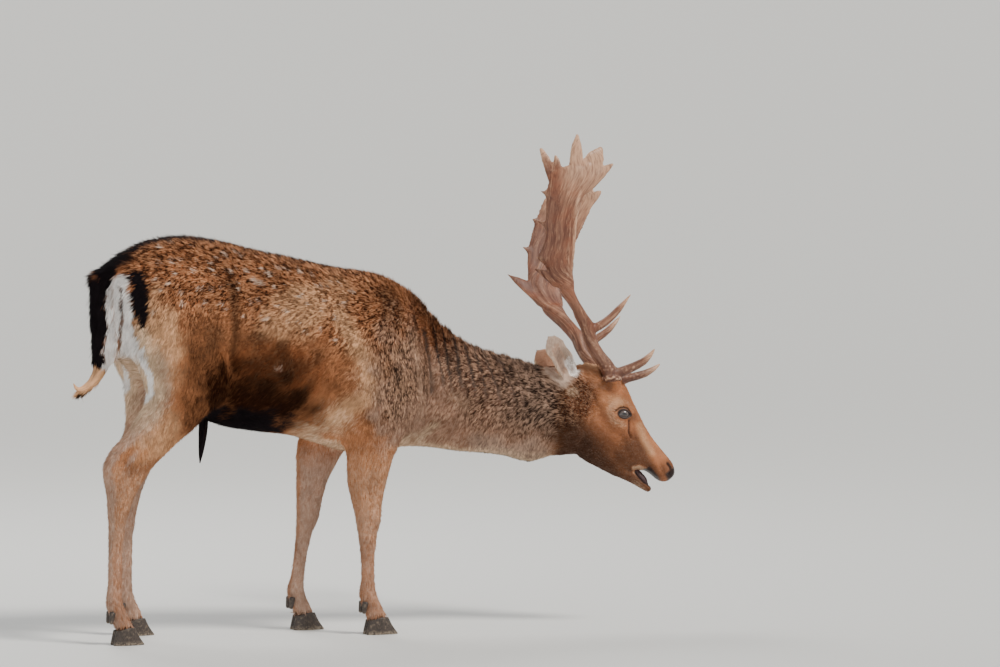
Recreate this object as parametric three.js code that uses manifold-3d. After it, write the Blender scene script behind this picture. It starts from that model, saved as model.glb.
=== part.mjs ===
// A fallow buck, life size, standing with its head lowered to feed. Millimetres, +Z up, +X towards the nose
// and +Y to the animal's left. The body is lofted through named stations, parted with thin cuts into the
// pieces a person would name, and centred over its own footprint with the hooves on Z = 0.
import * as THREE from "three";
import { mergeVertices } from "three/addons/utils/BufferGeometryUtils.js";
import Module from "manifold-3d";

const wasm = await Module();
wasm.setup();

// ---------------------------------------------------------------- driving dimensions
const GAP = 0.35; // clear width of every parting cut
const FOOT_TOP = 42; // height at which a foot ends and its claws begin
const FORE_SPREAD = 80; // distance of a fore foot from the middle plane
const HIND_SPREAD = 98; // distance of a hind foot from the middle plane
const FORE_PARTING = 478; // height of the cut between trunk and foreleg
const HIND_PARTING = 606; // height of the cut between trunk and hind leg
const NECK_BASE = 150; // X of the cut between trunk and neck
const NECK_BASE_LEAN = 0.42; // lean of that cut, X per Z, back towards the withers
// The cut between neck and head: its direction in the head's frame, and a place on it along nose and crown.
const HEAD_PARTING = { nose: 0.742, crown: 0.671, through: [-84, -93] };
const KNEE = 262; // height of the cut under the knee
const HOCK = 352; // height of the cut under the hock
const FETLOCK = 128; // height of the cut above the fetlock
const EYE_RADIUS = 18;
const EYE_PLACE = new THREE.Vector3(80, 47, -38); // middle of the left eyeball, in the head's frame
const BURR_SPREAD = 45; // distance of each antler's foot from the middle plane
const PALM_RISE = 214; // height above the burr at which the beam becomes the palm
const PALM_HOLLOW = 0.0032; // hollow of the palm, per millimetre squared from its middle line
const PALM_HOLLOW_MOST = 13;
const POINT_TIP_SHARE = 0.07; // width left at the tip of a palm's point, as a share of its root
const POINT_TIP_THICK = 2.2;

// The head's own frame: `nose` runs down the face, `left` across it and `crown` out of the forehead.
// Its origin lies midway between the feet of the antlers.
const HEAD_ORIGIN = new THREE.Vector3(587, -40, 594);
const NOSE = new THREE.Vector3(0.589, -0.312, -0.746).normalize();
const LEFT = new THREE.Vector3(0.216, 0.95, -0.227);
LEFT.addScaledVector(NOSE, -LEFT.dot(NOSE)).normalize();
const CROWN = new THREE.Vector3().crossVectors(NOSE, LEFT);
// The antlers lean back from the forehead: `fore` and `rise` are their own axes in the middle plane.
const FORE = new THREE.Vector3(0.66, 0, 0.75).normalize();
const RISE = new THREE.Vector3(-0.75, 0, 0.66).normalize();

// ---------------------------------------------------------------- stations
// Turns rows of numbers into stations with named measures, in the order of `names`.
function stations(names, rows) {
  return rows.map((row) => Object.fromEntries(names.map((name, i) => [name, row[i]])));
}

// Trunk and neck, from the buttocks forward: place along X, top line, underline, half width, height of the
// widest point, bend to the side, and how peaked the section is (1 is an ellipse).
const TORSO = stations(
  ["at", "top", "under", "half", "mid", "side", "peak"],
  [
    [-712, 884, 806, 30, 848, 0, 1],
    [-700, 914, 742, 62, 836, 0, 1],
    [-676, 931, 690, 90, 820, 0, 1.02],
    [-637, 953, 645, 114, 800, 0, 1.05],
    [-586, 973, 606, 131, 780, 0, 1.05],
    [-536, 980, 572, 139, 762, 0, 1.05],
    [-460, 979, 527, 135, 742, 0, 1.03],
    [-358, 952, 500, 133, 712, 0, 1],
    [-257, 928, 489, 146, 690, 0, 0.96],
    [-180, 909, 469, 153, 680, 0, 0.96],
    [-100, 891, 441, 150, 672, 0, 1],
    [-25, 882, 437, 140, 655, 0, 1.04],
    [40, 858, 447, 127, 640, 0, 1.04],
    [79, 833, 449, 117, 630, 0, 1.02],
    [110, 805, 447, 108, 618, 0, 1],
    [141, 768, 444, 100, 606, -1, 1],
    [175, 738, 438, 94, 592, -3, 1],
    [222, 707, 431, 88, 574, -8, 1],
    [289, 681, 427, 82, 556, -16, 1],
    [340, 666, 414, 78, 545, -22, 1],
    [372, 657, 404, 76, 538, -27, 1],
    [404, 646, 411, 74, 532, -31, 1],
    [450, 640, 418, 70, 528, -38, 1],
    [500, 632, 420, 60, 525, -45, 1],
    [540, 612, 440, 42, 520, -50, 1],
  ],
);

// Skull, cheeks and upper jaw, from the poll to the nose, in the head's own frame: place along the face,
// top line, underline, half width, level of the widest point, and peak of the section.
const SKULL = stations(
  ["at", "top", "under", "half", "mid", "peak"],
  [
    [-84, -26, -70, 20, -46, 1],
    [-68, -4, -112, 44, -46, 1],
    [-40, 15, -136, 54, -44, 0.95],
    [-8, 25, -158, 57, -44, 0.92],
    [22, 28, -172, 60, -46, 0.9],
    [56, 17, -182, 63, -42, 0.9],
    [84, 8, -182, 65, -42, 0.92],
    [108, 2, -176, 60, -50, 0.95],
    [136, -5, -164, 52, -66, 0.96],
    [164, -10, -151, 45, -76, 0.96],
    [188, -12, -132, 40, -70, 0.94],
    [204, -13, -92, 37, -56, 0.9],
    [226, -14, -76, 34, -48, 0.88],
    [246, -15, -74, 33, -46, 0.86],
    [260, -19, -70, 31, -44, 0.88],
    [270, -25, -62, 26, -42, 0.92],
    [276, -35, -52, 15, -43, 1],
  ],
);

// Lower jaw, in the same frame and the same measures.
const JAW = stations(
  ["at", "top", "under", "half", "mid", "peak"],
  [
    [110, -120, -170, 26, -148, 1],
    [150, -104, -159, 29, -136, 0.95],
    [186, -98, -143, 27, -122, 0.92],
    [212, -101, -129, 24, -115, 0.9],
    [236, -101, -120, 20, -110, 0.9],
    [254, -97, -114, 16, -105, 0.9],
    [263, -99, -108, 7, -104, 1],
  ],
);

// Legs, from inside the body down to the top of the claws: height, rear edge, front edge, distance from the
// middle plane and half width.
const LEG_MEASURES = ["at", "rear", "front", "out", "half"];
const FORE_UPPER = [
  [800, -118, 4, 70, 34],
  [720, -128, 44, 84, 55],
  [640, -134, 72, 90, 60],
  [560, -140, 74, 92, 58],
];
const HIND_UPPER = [
  [850, -640, -470, 70, 42],
  [780, -668, -432, 84, 60],
  [715, -676, -404, 90, 65],
  [655, -650, -404, 94, 63],
];
const LEGS = {
  fore_right: stations(LEG_MEASURES, [
    ...FORE_UPPER,
    [505, -134, 50, 88, 53],
    [462, -122, 22, 84, 47],
    [427, -116, 5, 82, 42],
    [369, -113, -10, FORE_SPREAD, 36],
    [330, -103, -19, FORE_SPREAD, 31],
    [296, -94, -23, FORE_SPREAD, 29],
    [270, -90, -26, FORE_SPREAD, 27],
    [240, -84, -34, FORE_SPREAD, 21],
    [185, -79, -40, FORE_SPREAD, 17],
    [135, -78, -40, FORE_SPREAD, 17],
    [106, -83, -37, FORE_SPREAD, 21],
    [82, -79, -29, FORE_SPREAD, 22],
    [60, -68, -17, FORE_SPREAD, 22],
    [FOOT_TOP, -66, -8, FORE_SPREAD, 24],
  ]),
  fore_left: stations(LEG_MEASURES, [
    ...FORE_UPPER,
    [505, -176, 18, 88, 53],
    [462, -187, -38, 84, 46],
    [427, -191, -71, 82, 41],
    [369, -190, -106, FORE_SPREAD, 35],
    [330, -190, -118, FORE_SPREAD, 31],
    [296, -190, -126, FORE_SPREAD, 29],
    [270, -190, -131, FORE_SPREAD, 27],
    [240, -191, -146, FORE_SPREAD, 21],
    [185, -197, -160, FORE_SPREAD, 17],
    [135, -204, -167, FORE_SPREAD, 17],
    [106, -213, -169, FORE_SPREAD, 21],
    [82, -212, -164, FORE_SPREAD, 22],
    [60, -202, -153, FORE_SPREAD, 22],
    [FOOT_TOP, -200, -144, FORE_SPREAD, 24],
  ]),
  hind_right: stations(LEG_MEASURES, [
    ...HIND_UPPER,
    [606, -631, -428, 98, 58],
    [560, -650, -455, 100, 52],
    [510, -686, -511, 102, 44],
    [466, -728, -566, 103, 37],
    [437, -744, -600, 103, 32],
    [412, -742, -622, 102, 29],
    [385, -736, -640, 101, 27],
    [350, -730, -660, 100, 24],
    [300, -727, -676, HIND_SPREAD, 20],
    [240, -726, -686, HIND_SPREAD, 17],
    [150, -727, -689, HIND_SPREAD, 17],
    [108, -733, -688, HIND_SPREAD, 21],
    [84, -728, -680, HIND_SPREAD, 22],
    [60, -716, -668, HIND_SPREAD, 22],
    [FOOT_TOP, -714, -660, HIND_SPREAD, 24],
  ]),
  hind_left: stations(LEG_MEASURES, [
    ...HIND_UPPER,
    [606, -629, -424, 98, 58],
    [560, -624, -438, 100, 52],
    [510, -622, -472, 102, 44],
    [466, -638, -508, 103, 37],
    [437, -653, -532, 103, 32],
    [412, -652, -548, 102, 29],
    [385, -646, -561, 101, 27],
    [350, -641, -577, 100, 24],
    [300, -639, -591, HIND_SPREAD, 20],
    [240, -640, -600, HIND_SPREAD, 17],
    [150, -641, -603, HIND_SPREAD, 17],
    [108, -647, -602, HIND_SPREAD, 21],
    [84, -642, -594, HIND_SPREAD, 22],
    [60, -630, -582, HIND_SPREAD, 22],
    [FOOT_TOP, -628, -574, HIND_SPREAD, 24],
  ]),
};

// Tail, from its root down to the curled tip: height, rear edge, front edge, half width.
const TAIL = stations(
  ["at", "rear", "front", "half"],
  [
    [905, -728, -660, 26],
    [885, -738, -668, 34],
    [840, -740, -676, 40],
    [778, -737, -680, 41],
    [700, -734, -680, 38],
    [662, -734, -684, 30],
    [634, -770, -694, 22],
    [612, -771, -712, 15],
    [596, -756, -728, 6],
  ],
);

// Hair on the sheath, hanging under the belly.
const SHEATH = stations(
  ["at", "rear", "front", "half"],
  [
    [540, -474, -434, 15],
    [505, -472, -440, 13],
    [470, -469, -448, 9],
    [424, -465, -458, 3],
  ],
);

// Ears, from the root to the tip: share of the length, half width and half thickness.
const EAR_ROOT = new THREE.Vector3(-52, 44, -82);
const EAR_TIP = new THREE.Vector3(-184, 112, -61);
const EAR_CUP = 12; // how far the rims stand in front of the back of the ear
const EAR_CURL_FROM_ROOT = 1.15; // above 1, the rims are curled most nearer the root
const EAR_OPENING = new THREE.Vector3(0.25, 0.85, 0.35); // the way the left ear's hollow faces
const EAR = stations(
  ["at", "half", "thick"],
  [
    [0, 17, 14],
    [0.15, 23, 12],
    [0.35, 31, 9],
    [0.55, 33, 8],
    [0.75, 26, 7],
    [0.9, 14, 5],
    [1, 3, 2.5],
  ],
);

// Antlers: places as [fore, rise, spread from the middle plane], measured from the foot of the antler,
// and the radius there. `palm` and its points are flat across `fore` and are given by half width instead.
const BEAM = [
  [0, -10, BURR_SPREAD - 1, 19],
  [0, 0, BURR_SPREAD, 24],
  [-2, 9, BURR_SPREAD + 1, 23],
  [-7, 20, 48, 19],
  [-14, 33, 52, 18],
  [-45, 70, 62, 17],
  [-60, 99, 74, 17],
  [-66, 124, 85, 18],
  [-78, 143, 98, 17],
  [-102, 174, 118, 18],
  [-122, 200, 137, 20],
  [-132, PALM_RISE + 12, 148, 22],
];
const TINES = {
  right: {
    brow: [
      [2, 14, 47, 14],
      [32, 25, 50, 12],
      [57, 36, 54, 10.5],
      [81, 50, 59, 8.5],
      [103, 77, 65, 2.5],
    ],
    trez: [
      [-66, 120, 84, 13],
      [-40, 127, 85, 11],
      [-11, 148, 88, 9.5],
      [15, 176, 92, 7.5],
      [41, 208, 98, 2.5],
    ],
  },
  left: {
    brow: [
      [2, 12, 47, 14],
      [36, 18, 50, 12],
      [70, 26, 54, 10.5],
      [104, 38, 58, 8.5],
      [135, 60, 62, 2.5],
    ],
    trez: [
      [-66, 114, 84, 13],
      [-40, 116, 85, 11],
      [-10, 132, 88, 9.5],
      [18, 156, 92, 7.5],
      [42, 186, 98, 2.5],
    ],
  },
};
// Each palm's middle line: rise, fore, spread, half width and half thickness.
const PALM_MEASURES = ["at", "fore", "out", "half", "thick"];
const PALMS = {
  right: stations(PALM_MEASURES, [
    [PALM_RISE - 30, -112, 130, 21, 18],
    [PALM_RISE, -125, 146, 23, 16],
    [250, -141, 163, 36, 11],
    [300, -146, 181, 37, 8],
    [350, -147, 193, 39, 7],
    [400, -143, 202, 42, 6.5],
    [440, -132, 207, 53, 6],
    [475, -116, 208, 58, 5.5],
    [495, -110, 208, 50, 5],
    [505, -108, 207, 28, 4],
  ]),
  left: stations(PALM_MEASURES, [
    [PALM_RISE - 30, -116, 130, 23, 18],
    [PALM_RISE, -132, 146, 28, 15],
    [250, -141, 163, 39, 11],
    [300, -138, 181, 46, 8],
    [350, -127, 193, 56, 7],
    [400, -111, 202, 63, 6.5],
    [440, -94, 207, 65, 6],
    [480, -78, 209, 67, 5.5],
    [505, -70, 208, 60, 5],
    [518, -66, 207, 34, 4],
  ]),
};
// Points growing out of the palm's edge: where each leaves the blade, its tip, its half width at the root
// and how blunt it is (a large number keeps a broad round lobe).
const POINTS = {
  right: [
    { name: "rear spur", root: [-132, 214], tip: [-208, 258], half: 30, blunt: 0.6 },
    { name: "rear edge low", root: [-164, 352], tip: [-206, 372], half: 15, blunt: 0.6 },
    { name: "rear edge high", root: [-158, 424], tip: [-197, 445], half: 18, blunt: 0.6 },
    { name: "crown rear", root: [-156, 462], tip: [-193, 549], half: 21, blunt: 1 },
    { name: "crown middle", root: [-148, 478], tip: [-158, 532], half: 14, blunt: 1.4 },
    { name: "crown top", root: [-110, 470], tip: [-105, 583], half: 22, blunt: 1.4 },
    { name: "crown front", root: [-92, 462], tip: [-44, 553], half: 34, blunt: 2.2 },
    { name: "front spur", root: [-92, 455], tip: [-15, 514], half: 26, blunt: 1 },
  ],
  left: [
    { name: "rear spur", root: [-136, 232], tip: [-234, 298], half: 32, blunt: 0.6 },
    { name: "rear edge low", root: [-158, 352], tip: [-194, 371], half: 16, blunt: 0.6 },
    { name: "rear edge high", root: [-136, 428], tip: [-168, 444], half: 18, blunt: 0.6 },
    { name: "crown rear", root: [-110, 470], tip: [-116, 526], half: 22, blunt: 1.4 },
    { name: "crown top", root: [-82, 480], tip: [-76, 556], half: 22, blunt: 1.4 },
    { name: "crown front", root: [-58, 478], tip: [-14, 534], half: 30, blunt: 2.2 },
    { name: "front spur", root: [-58, 466], tip: [9, 517], half: 26, blunt: 1.4 },
  ],
};

// ---------------------------------------------------------------- shared shape functions
// One measure at a place along the stations, on a smooth curve through them.
function measure(rows, name, at) {
  const rising = rows[rows.length - 1].at > rows[0].at;
  const along = (i) => (rising ? rows[i].at : -rows[i].at);
  const place = rising ? at : -at;
  const last = rows.length - 1;
  let i = 0;
  while (i < last - 1 && place > along(i + 1)) i += 1;
  const before = Math.max(i - 1, 0);
  const after = Math.min(i + 2, last);
  const run = along(i + 1) - along(i);
  const t = THREE.MathUtils.clamp((place - along(i)) / run, 0, 1);
  const from = rows[i][name];
  const to = rows[i + 1][name];
  const leave = ((to - rows[before][name]) / (along(i + 1) - along(before))) * run;
  const arrive = ((rows[after][name] - from) / (along(after) - along(i))) * run;
  return (
    from * (2 * t ** 3 - 3 * t ** 2 + 1) +
    leave * (t ** 3 - 2 * t ** 2 + t) +
    to * (3 * t ** 2 - 2 * t ** 3) +
    arrive * (t ** 3 - t ** 2)
  );
}

// Cosine or sine bent by the section's peak: 1 keeps the ellipse, more makes it narrower at its ends.
function bent(value, peak) {
  return Math.sign(value) * Math.abs(value) ** peak;
}

// A solid from a cylinder whose rings are set one by one: ring(t, angle, share) gives the point for the
// place t from 0 to 1, where share is 1 on the wall and 0 in the middle of the end caps.
function loft(rows, around, ring) {
  const geometry = new THREE.CylinderGeometry(1, 1, 1, around, rows);
  const position = geometry.getAttribute("position");
  const vertex = new THREE.Vector3();
  for (let i = 0; i < position.count; i += 1) {
    vertex.fromBufferAttribute(position, i);
    const share = Math.hypot(vertex.x, vertex.z) > 0.5 ? 1 : 0;
    const angle = Math.atan2(vertex.z, vertex.x);
    vertex.copy(ring(vertex.y + 0.5, angle, share));
    position.setXYZ(i, vertex.x, vertex.y, vertex.z);
  }
  return solid(geometry);
}

// A closed geometry as a manifold-3d solid with its faces pointing out.
function solid(geometry) {
  geometry.deleteAttribute("normal");
  geometry.deleteAttribute("uv");
  const merged = mergeVertices(geometry, 1e-4);
  const corners = new Uint32Array(merged.index.array);
  const points = merged.getAttribute("position").array;
  if (signedVolume(points, corners) < 0) {
    for (let i = 0; i < corners.length; i += 3) {
      const second = corners[i + 1];
      corners[i + 1] = corners[i + 2];
      corners[i + 2] = second;
    }
  }
  return new wasm.Manifold(new wasm.Mesh({ numProp: 3, vertProperties: points, triVerts: corners }));
}

function signedVolume(points, corners) {
  const a = new THREE.Vector3();
  const b = new THREE.Vector3();
  const c = new THREE.Vector3();
  let sum = 0;
  for (let i = 0; i < corners.length; i += 3) {
    a.fromArray(points, corners[i] * 3);
    b.fromArray(points, corners[i + 1] * 3);
    c.fromArray(points, corners[i + 2] * 3);
    sum += a.dot(b.cross(c)) / 6;
  }
  return sum;
}

function joined(solids) {
  return solids.reduce((all, one) => all.add(one));
}

// The largest body of a solid: a cut may leave a crumb too thin to be a piece.
function mainBody(made) {
  return made.decompose().reduce((most, body) => (body.volume() > most.volume() ? body : most));
}

// The two sides of a thin cut: the plane is where normal . point = offset.
function above(made, normal, offset) {
  return made.trimByPlane(normal, offset + GAP / 2);
}

function below(made, normal, offset) {
  return made.trimByPlane(normal.map((value) => -value), -offset + GAP / 2);
}

// A point of the head's own frame, in the part's frame.
function fromHead(nose, left, crown) {
  return HEAD_ORIGIN.clone()
    .addScaledVector(NOSE, nose)
    .addScaledVector(LEFT, left)
    .addScaledVector(CROWN, crown);
}

// A point of an antler, in the part's frame; side is 1 for the left antler and -1 for the right.
function fromAntler(side, fore, rise, spread) {
  const nose = FORE.x * fore + RISE.x * rise;
  const crown = FORE.z * fore + RISE.z * rise;
  return fromHead(nose, side * spread, crown);
}

// ---------------------------------------------------------------- body
// Spreads the rings evenly over the stations, so that close stations get more rings.
function placeAt(rows, t) {
  const run = t * (rows.length - 1);
  const i = Math.min(Math.floor(run), rows.length - 2);
  return THREE.MathUtils.lerp(rows[i].at, rows[i + 1].at, run - i);
}

function torsoSolid(grow) {
  return loft(26, 18, (t, angle, share) => {
    const x = placeAt(TORSO, t);
    const peak = measure(TORSO, "peak", x);
    const mid = measure(TORSO, "mid", x);
    const up = bent(Math.sin(angle), peak);
    const tall = up > 0 ? measure(TORSO, "top", x) - mid : mid - measure(TORSO, "under", x);
    const wide = measure(TORSO, "half", x) + grow;
    const y = measure(TORSO, "side", x) + wide * bent(Math.cos(angle), peak) * share;
    const end = t === 0 ? -grow : t === 1 ? grow : 0;
    return new THREE.Vector3(x + end, y, mid + (tall + grow) * up * share);
  });
}

// A part of the head from its stations in the head's own frame.
function headSolid(rows, rings, around, grow) {
  return loft(rings, around, (t, angle, share) => {
    const nose = placeAt(rows, t);
    const peak = measure(rows, "peak", nose);
    const mid = measure(rows, "mid", nose);
    const up = bent(Math.sin(angle), peak);
    const tall = up > 0 ? measure(rows, "top", nose) - mid : mid - measure(rows, "under", nose);
    const wide = (measure(rows, "half", nose) + grow) * bent(Math.cos(angle), peak) * share;
    const end = t === 0 ? -grow : t === 1 ? grow : 0;
    return fromHead(nose + end, wide, mid + (tall + grow) * up * share);
  });
}

// A hanging piece from its stations down Z; side is 1 on the left, -1 on the right.
function hangingSolid(rows, rings, around, side, grow) {
  return loft(rings, around, (t, angle, share) => {
    const z = placeAt(rows, t);
    const rear = measure(rows, "rear", z) - grow;
    const front = measure(rows, "front", z) + grow;
    const out = rows[0].out === undefined ? 0 : measure(rows, "out", z);
    const half = measure(rows, "half", z) + grow;
    const x = (rear + front) / 2 + ((front - rear) / 2) * Math.cos(angle) * share;
    const end = t === 0 ? grow : t === 1 ? -grow : 0;
    return new THREE.Vector3(x, side * out + half * Math.sin(angle) * share, z + end);
  });
}

function eyeSolid(side, radius) {
  const centre = fromHead(EYE_PLACE.x, side * EYE_PLACE.y, EYE_PLACE.z);
  const ball = new THREE.SphereGeometry(radius, 10, 7);
  return solid(ball.translate(centre.x, centre.y, centre.z));
}

// A leaf of the ear: flat across its length, with the rims curled forward.
function earSolid(side, grow) {
  const root = fromHead(EAR_ROOT.x, side * EAR_ROOT.y, EAR_ROOT.z);
  const tip = fromHead(EAR_TIP.x, side * EAR_TIP.y, EAR_TIP.z);
  const along = tip.clone().sub(root);
  const open = fromHead(EAR_OPENING.x, side * EAR_OPENING.y, EAR_OPENING.z).sub(HEAD_ORIGIN);
  const across = new THREE.Vector3().crossVectors(along, open).normalize();
  const inward = new THREE.Vector3().crossVectors(across, along).normalize();
  return loft(8, 10, (t, angle, share) => {
    const half = measure(EAR, "half", t) + grow;
    const thick = measure(EAR, "thick", t) + grow;
    const curl = Math.sin(Math.PI * Math.min(t * EAR_CURL_FROM_ROOT, 1));
    const cup = EAR_CUP * curl * Math.cos(angle) ** 2 * share;
    return root
      .clone()
      .addScaledVector(along, t)
      .addScaledVector(across, half * Math.cos(angle) * share)
      .addScaledVector(inward, thick * Math.sin(angle) * share + cup);
  });
}

// ---------------------------------------------------------------- antlers
// A round tapering piece along a smooth line through places [fore, rise, spread, radius].
function antlerTube(side, places, rings, around, grow) {
  const line = new THREE.CatmullRomCurve3(places.map(([f, r, s]) => fromAntler(side, f, r, s)));
  const radii = places.map((place, i) => ({ at: i / (places.length - 1), radius: place[3] }));
  const frames = line.computeFrenetFrames(rings, false);
  return loft(rings, around, (t, angle, share) => {
    const i = Math.round(t * rings);
    const radius = (measure(radii, "radius", line.getUtoTmapping(t)) + grow) * share;
    const end = t === 0 ? -grow : t === 1 ? grow : 0;
    return line
      .getPointAt(t)
      .addScaledVector(frames.tangents[i], end)
      .addScaledVector(frames.normals[i], radius * Math.cos(angle))
      .addScaledVector(frames.binormals[i], radius * Math.sin(angle));
  });
}

// How far the palm is hollowed towards the middle plane at a distance from its middle line.
function palmHollow(distance) {
  return Math.min(PALM_HOLLOW * distance ** 2, PALM_HOLLOW_MOST);
}

// The blade of the palm: flat across the middle line, and hollowed towards the middle plane.
function palmBlade(side, rows) {
  return loft(10, 8, (t, angle, share) => {
    const rise = placeAt(rows, t);
    const wide = measure(rows, "half", rise) * Math.cos(angle) * share;
    const thick = measure(rows, "thick", rise) * Math.sin(angle) * share;
    const out = measure(rows, "out", rise) + thick - palmHollow(wide);
    return fromAntler(side, measure(rows, "fore", rise) + wide, rise, out);
  });
}

// A flat point of the palm, thinning to its tip.
function palmPoint(side, rows, { root, tip, half, blunt }) {
  const away = new THREE.Vector2(tip[0] - root[0], tip[1] - root[1]);
  const across = new THREE.Vector2(-away.y, away.x).normalize();
  return loft(4, 6, (t, angle, share) => {
    const narrow = Math.max(Math.sqrt(1 - t ** blunt), POINT_TIP_SHARE);
    const wide = half * narrow * Math.cos(angle) * share;
    const fore = root[0] + away.x * t + across.x * wide;
    const rise = root[1] + away.y * t + across.y * wide;
    const height = Math.min(rise, rows[rows.length - 1].at);
    const thick = THREE.MathUtils.lerp(measure(rows, "thick", height) * 0.92, POINT_TIP_THICK, t);
    const hollow = palmHollow(fore - measure(rows, "fore", height));
    const out = measure(rows, "out", height) + thick * Math.sin(angle) * share - hollow;
    return fromAntler(side, fore, rise, out);
  });
}

function antlerPieces(sideName) {
  const side = sideName === "left" ? 1 : -1;
  const rise = fromAntler(side, 0, 1, 0).sub(fromAntler(side, 0, 0, 0)).normalize();
  const normal = rise.toArray();
  const parting = fromAntler(side, 0, PALM_RISE, 0).dot(rise);
  const rows = PALMS[sideName];
  const whole = antlerTube(side, BEAM, 11, 8, 0);
  const points = POINTS[sideName].map((point) => palmPoint(side, rows, point));
  const palm = joined([palmBlade(side, rows), ...points]);
  const beamGrown = antlerTube(side, BEAM, 11, 8, GAP);
  const tine = (name) => antlerTube(side, TINES[sideName][name], 6, 7, 0).subtract(beamGrown);
  return {
    beam: below(whole, normal, parting),
    palm: above(palm, normal, parting),
    brow_tine: tine("brow"),
    trez_tine: tine("trez"),
    grown: beamGrown,
  };
}

// ---------------------------------------------------------------- feet
// A claw: half width, widest place from the heel, how pointed it is, and how its front and heel slope inward
// towards the top. Its outline reaches `ahead` of the foot above it and `behind` it.
const CLAW = {
  half: 12,
  apart: 12.6,
  widest: 0.4,
  point: 0.45,
  frontSlope: 0.52,
  heelSlope: 0.09,
  ahead: 24,
  behind: 2,
};
// A dewclaw: radius at root and tip, the heights of both, and how far the tip stands off behind.
const DEWCLAW = { root: 8, tip: 4.5, top: 82, low: 52, flare: 4, apart: 13 };

// One claw: a horizontal outline that runs out to a blunt tip, with a flat sole on the ground.
function clawSolid(heel, tip, y) {
  const middle = heel + (tip - heel) * CLAW.widest;
  return loft(2, 8, (t, angle, share) => {
    const up = 1 - t;
    const forward = Math.cos(angle);
    const ahead = (tip - middle) * (1 - CLAW.frontSlope * up);
    const behind = (middle - heel) * (1 - CLAW.heelSlope * up);
    const pointed = forward > 0 ? 1 - CLAW.point * forward ** 2 : 1;
    const width = CLAW.half * pointed * (1 - CLAW.heelSlope * up);
    const x = middle + (forward > 0 ? ahead : behind) * forward * share;
    return new THREE.Vector3(x, y + width * Math.sin(angle) * share, (FOOT_TOP - GAP) * up);
  });
}

// A dewclaw: a small blunt cone behind the fetlock, pointing down.
function dewclawSolid(x, y, grow) {
  return loft(2, 6, (t, angle, share) => {
    const size = (THREE.MathUtils.lerp(DEWCLAW.root, DEWCLAW.tip, t) + grow) * share;
    const end = t === 0 ? grow : t === 1 ? -grow : 0;
    const z = THREE.MathUtils.lerp(DEWCLAW.top, DEWCLAW.low, t) + end;
    const back = x - DEWCLAW.flare * t;
    return new THREE.Vector3(back + size * Math.cos(angle), y + size * Math.sin(angle), z);
  });
}

// ---------------------------------------------------------------- the whole animal, parted
const HIDE = { color: 0x7a4a28, roughness: 0.9, metalness: 0 };
const LOOKS = {
  hide: new THREE.MeshStandardMaterial(HIDE),
  eye: new THREE.MeshStandardMaterial({ color: 0x15161c, roughness: 0.12, metalness: 0 }),
  antler: new THREE.MeshStandardMaterial({ color: 0x8a5f45, roughness: 0.6, metalness: 0 }),
  hoof: new THREE.MeshStandardMaterial({ color: 0x2a2420, roughness: 0.5, metalness: 0 }),
};
const SIDES = { right: -1, left: 1 };

const deer = new THREE.Group();
const pieces = [];

function place(name, made, look) {
  pieces.push({ name, made: mainBody(made), look });
}

const skull = (grow) => joined([headSolid(SKULL, 18, 16, grow), headSolid(JAW, 7, 8, grow)]);
const bodyWith = (grow) => joined([torsoSolid(grow), skull(grow)]);

let body = bodyWith(0);
const bodyGrown = bodyWith(GAP);

for (const [leg, rows] of Object.entries(LEGS)) {
  const [end, sideName] = leg.split("_");
  const side = SIDES[sideName];
  const parting = end === "fore" ? FORE_PARTING : HIND_PARTING;
  const joint = end === "fore" ? KNEE : HOCK;
  const whole = hangingSolid(rows, rows.length - 1, 10, side, 0);
  body = body.add(above(whole, [0, 0, 1], parting));

  const free = below(whole, [0, 0, 1], parting).subtract(bodyGrown);
  place(`${leg}_upper`, above(free, [0, 0, 1], joint), LOOKS.hide);
  place(`${leg}_cannon`, above(below(free, [0, 0, 1], joint), [0, 0, 1], FETLOCK), LOOKS.hide);

  const ankle = rows[rows.length - 1];
  const heel = ankle.rear - CLAW.behind;
  const tip = ankle.front + CLAW.ahead;
  let foot = below(free, [0, 0, 1], FETLOCK);
  for (const [clawName, away] of [["inner", -side], ["outer", side]]) {
    const y = side * ankle.out + away * CLAW.apart;
    place(`${leg}_claw_${clawName}`, clawSolid(heel, tip, y), LOOKS.hoof);
    const dewX = measure(rows, "rear", (DEWCLAW.top + DEWCLAW.low) / 2);
    const dewY = side * ankle.out + away * DEWCLAW.apart;
    place(`${leg}_dewclaw_${clawName}`, dewclawSolid(dewX, dewY, 0), LOOKS.hoof);
    foot = foot.subtract(dewclawSolid(dewX, dewY, GAP));
  }
  place(`${leg}_foot`, foot, LOOKS.hide);
}

const tail = hangingSolid(TAIL, 8, 8, 1, 0).subtract(bodyGrown);
place("tail", tail, LOOKS.hide);
place("sheath_brush", hangingSolid(SHEATH, 4, 8, 1, 0).subtract(bodyGrown), LOOKS.hide);

for (const [sideName, side] of Object.entries(SIDES)) {
  const antler = antlerPieces(sideName);
  for (const piece of ["beam", "brow_tine", "trez_tine", "palm"]) {
    place(`antler_${sideName}_${piece}`, antler[piece], LOOKS.antler);
  }
  body = body.subtract(antler.grown);
  body = body.subtract(eyeSolid(side, EYE_RADIUS + GAP));
  place(`eye_${sideName}`, eyeSolid(side, EYE_RADIUS), LOOKS.eye);
  place(`ear_${sideName}`, earSolid(side, 0).subtract(bodyGrown), LOOKS.hide);
}

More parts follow.
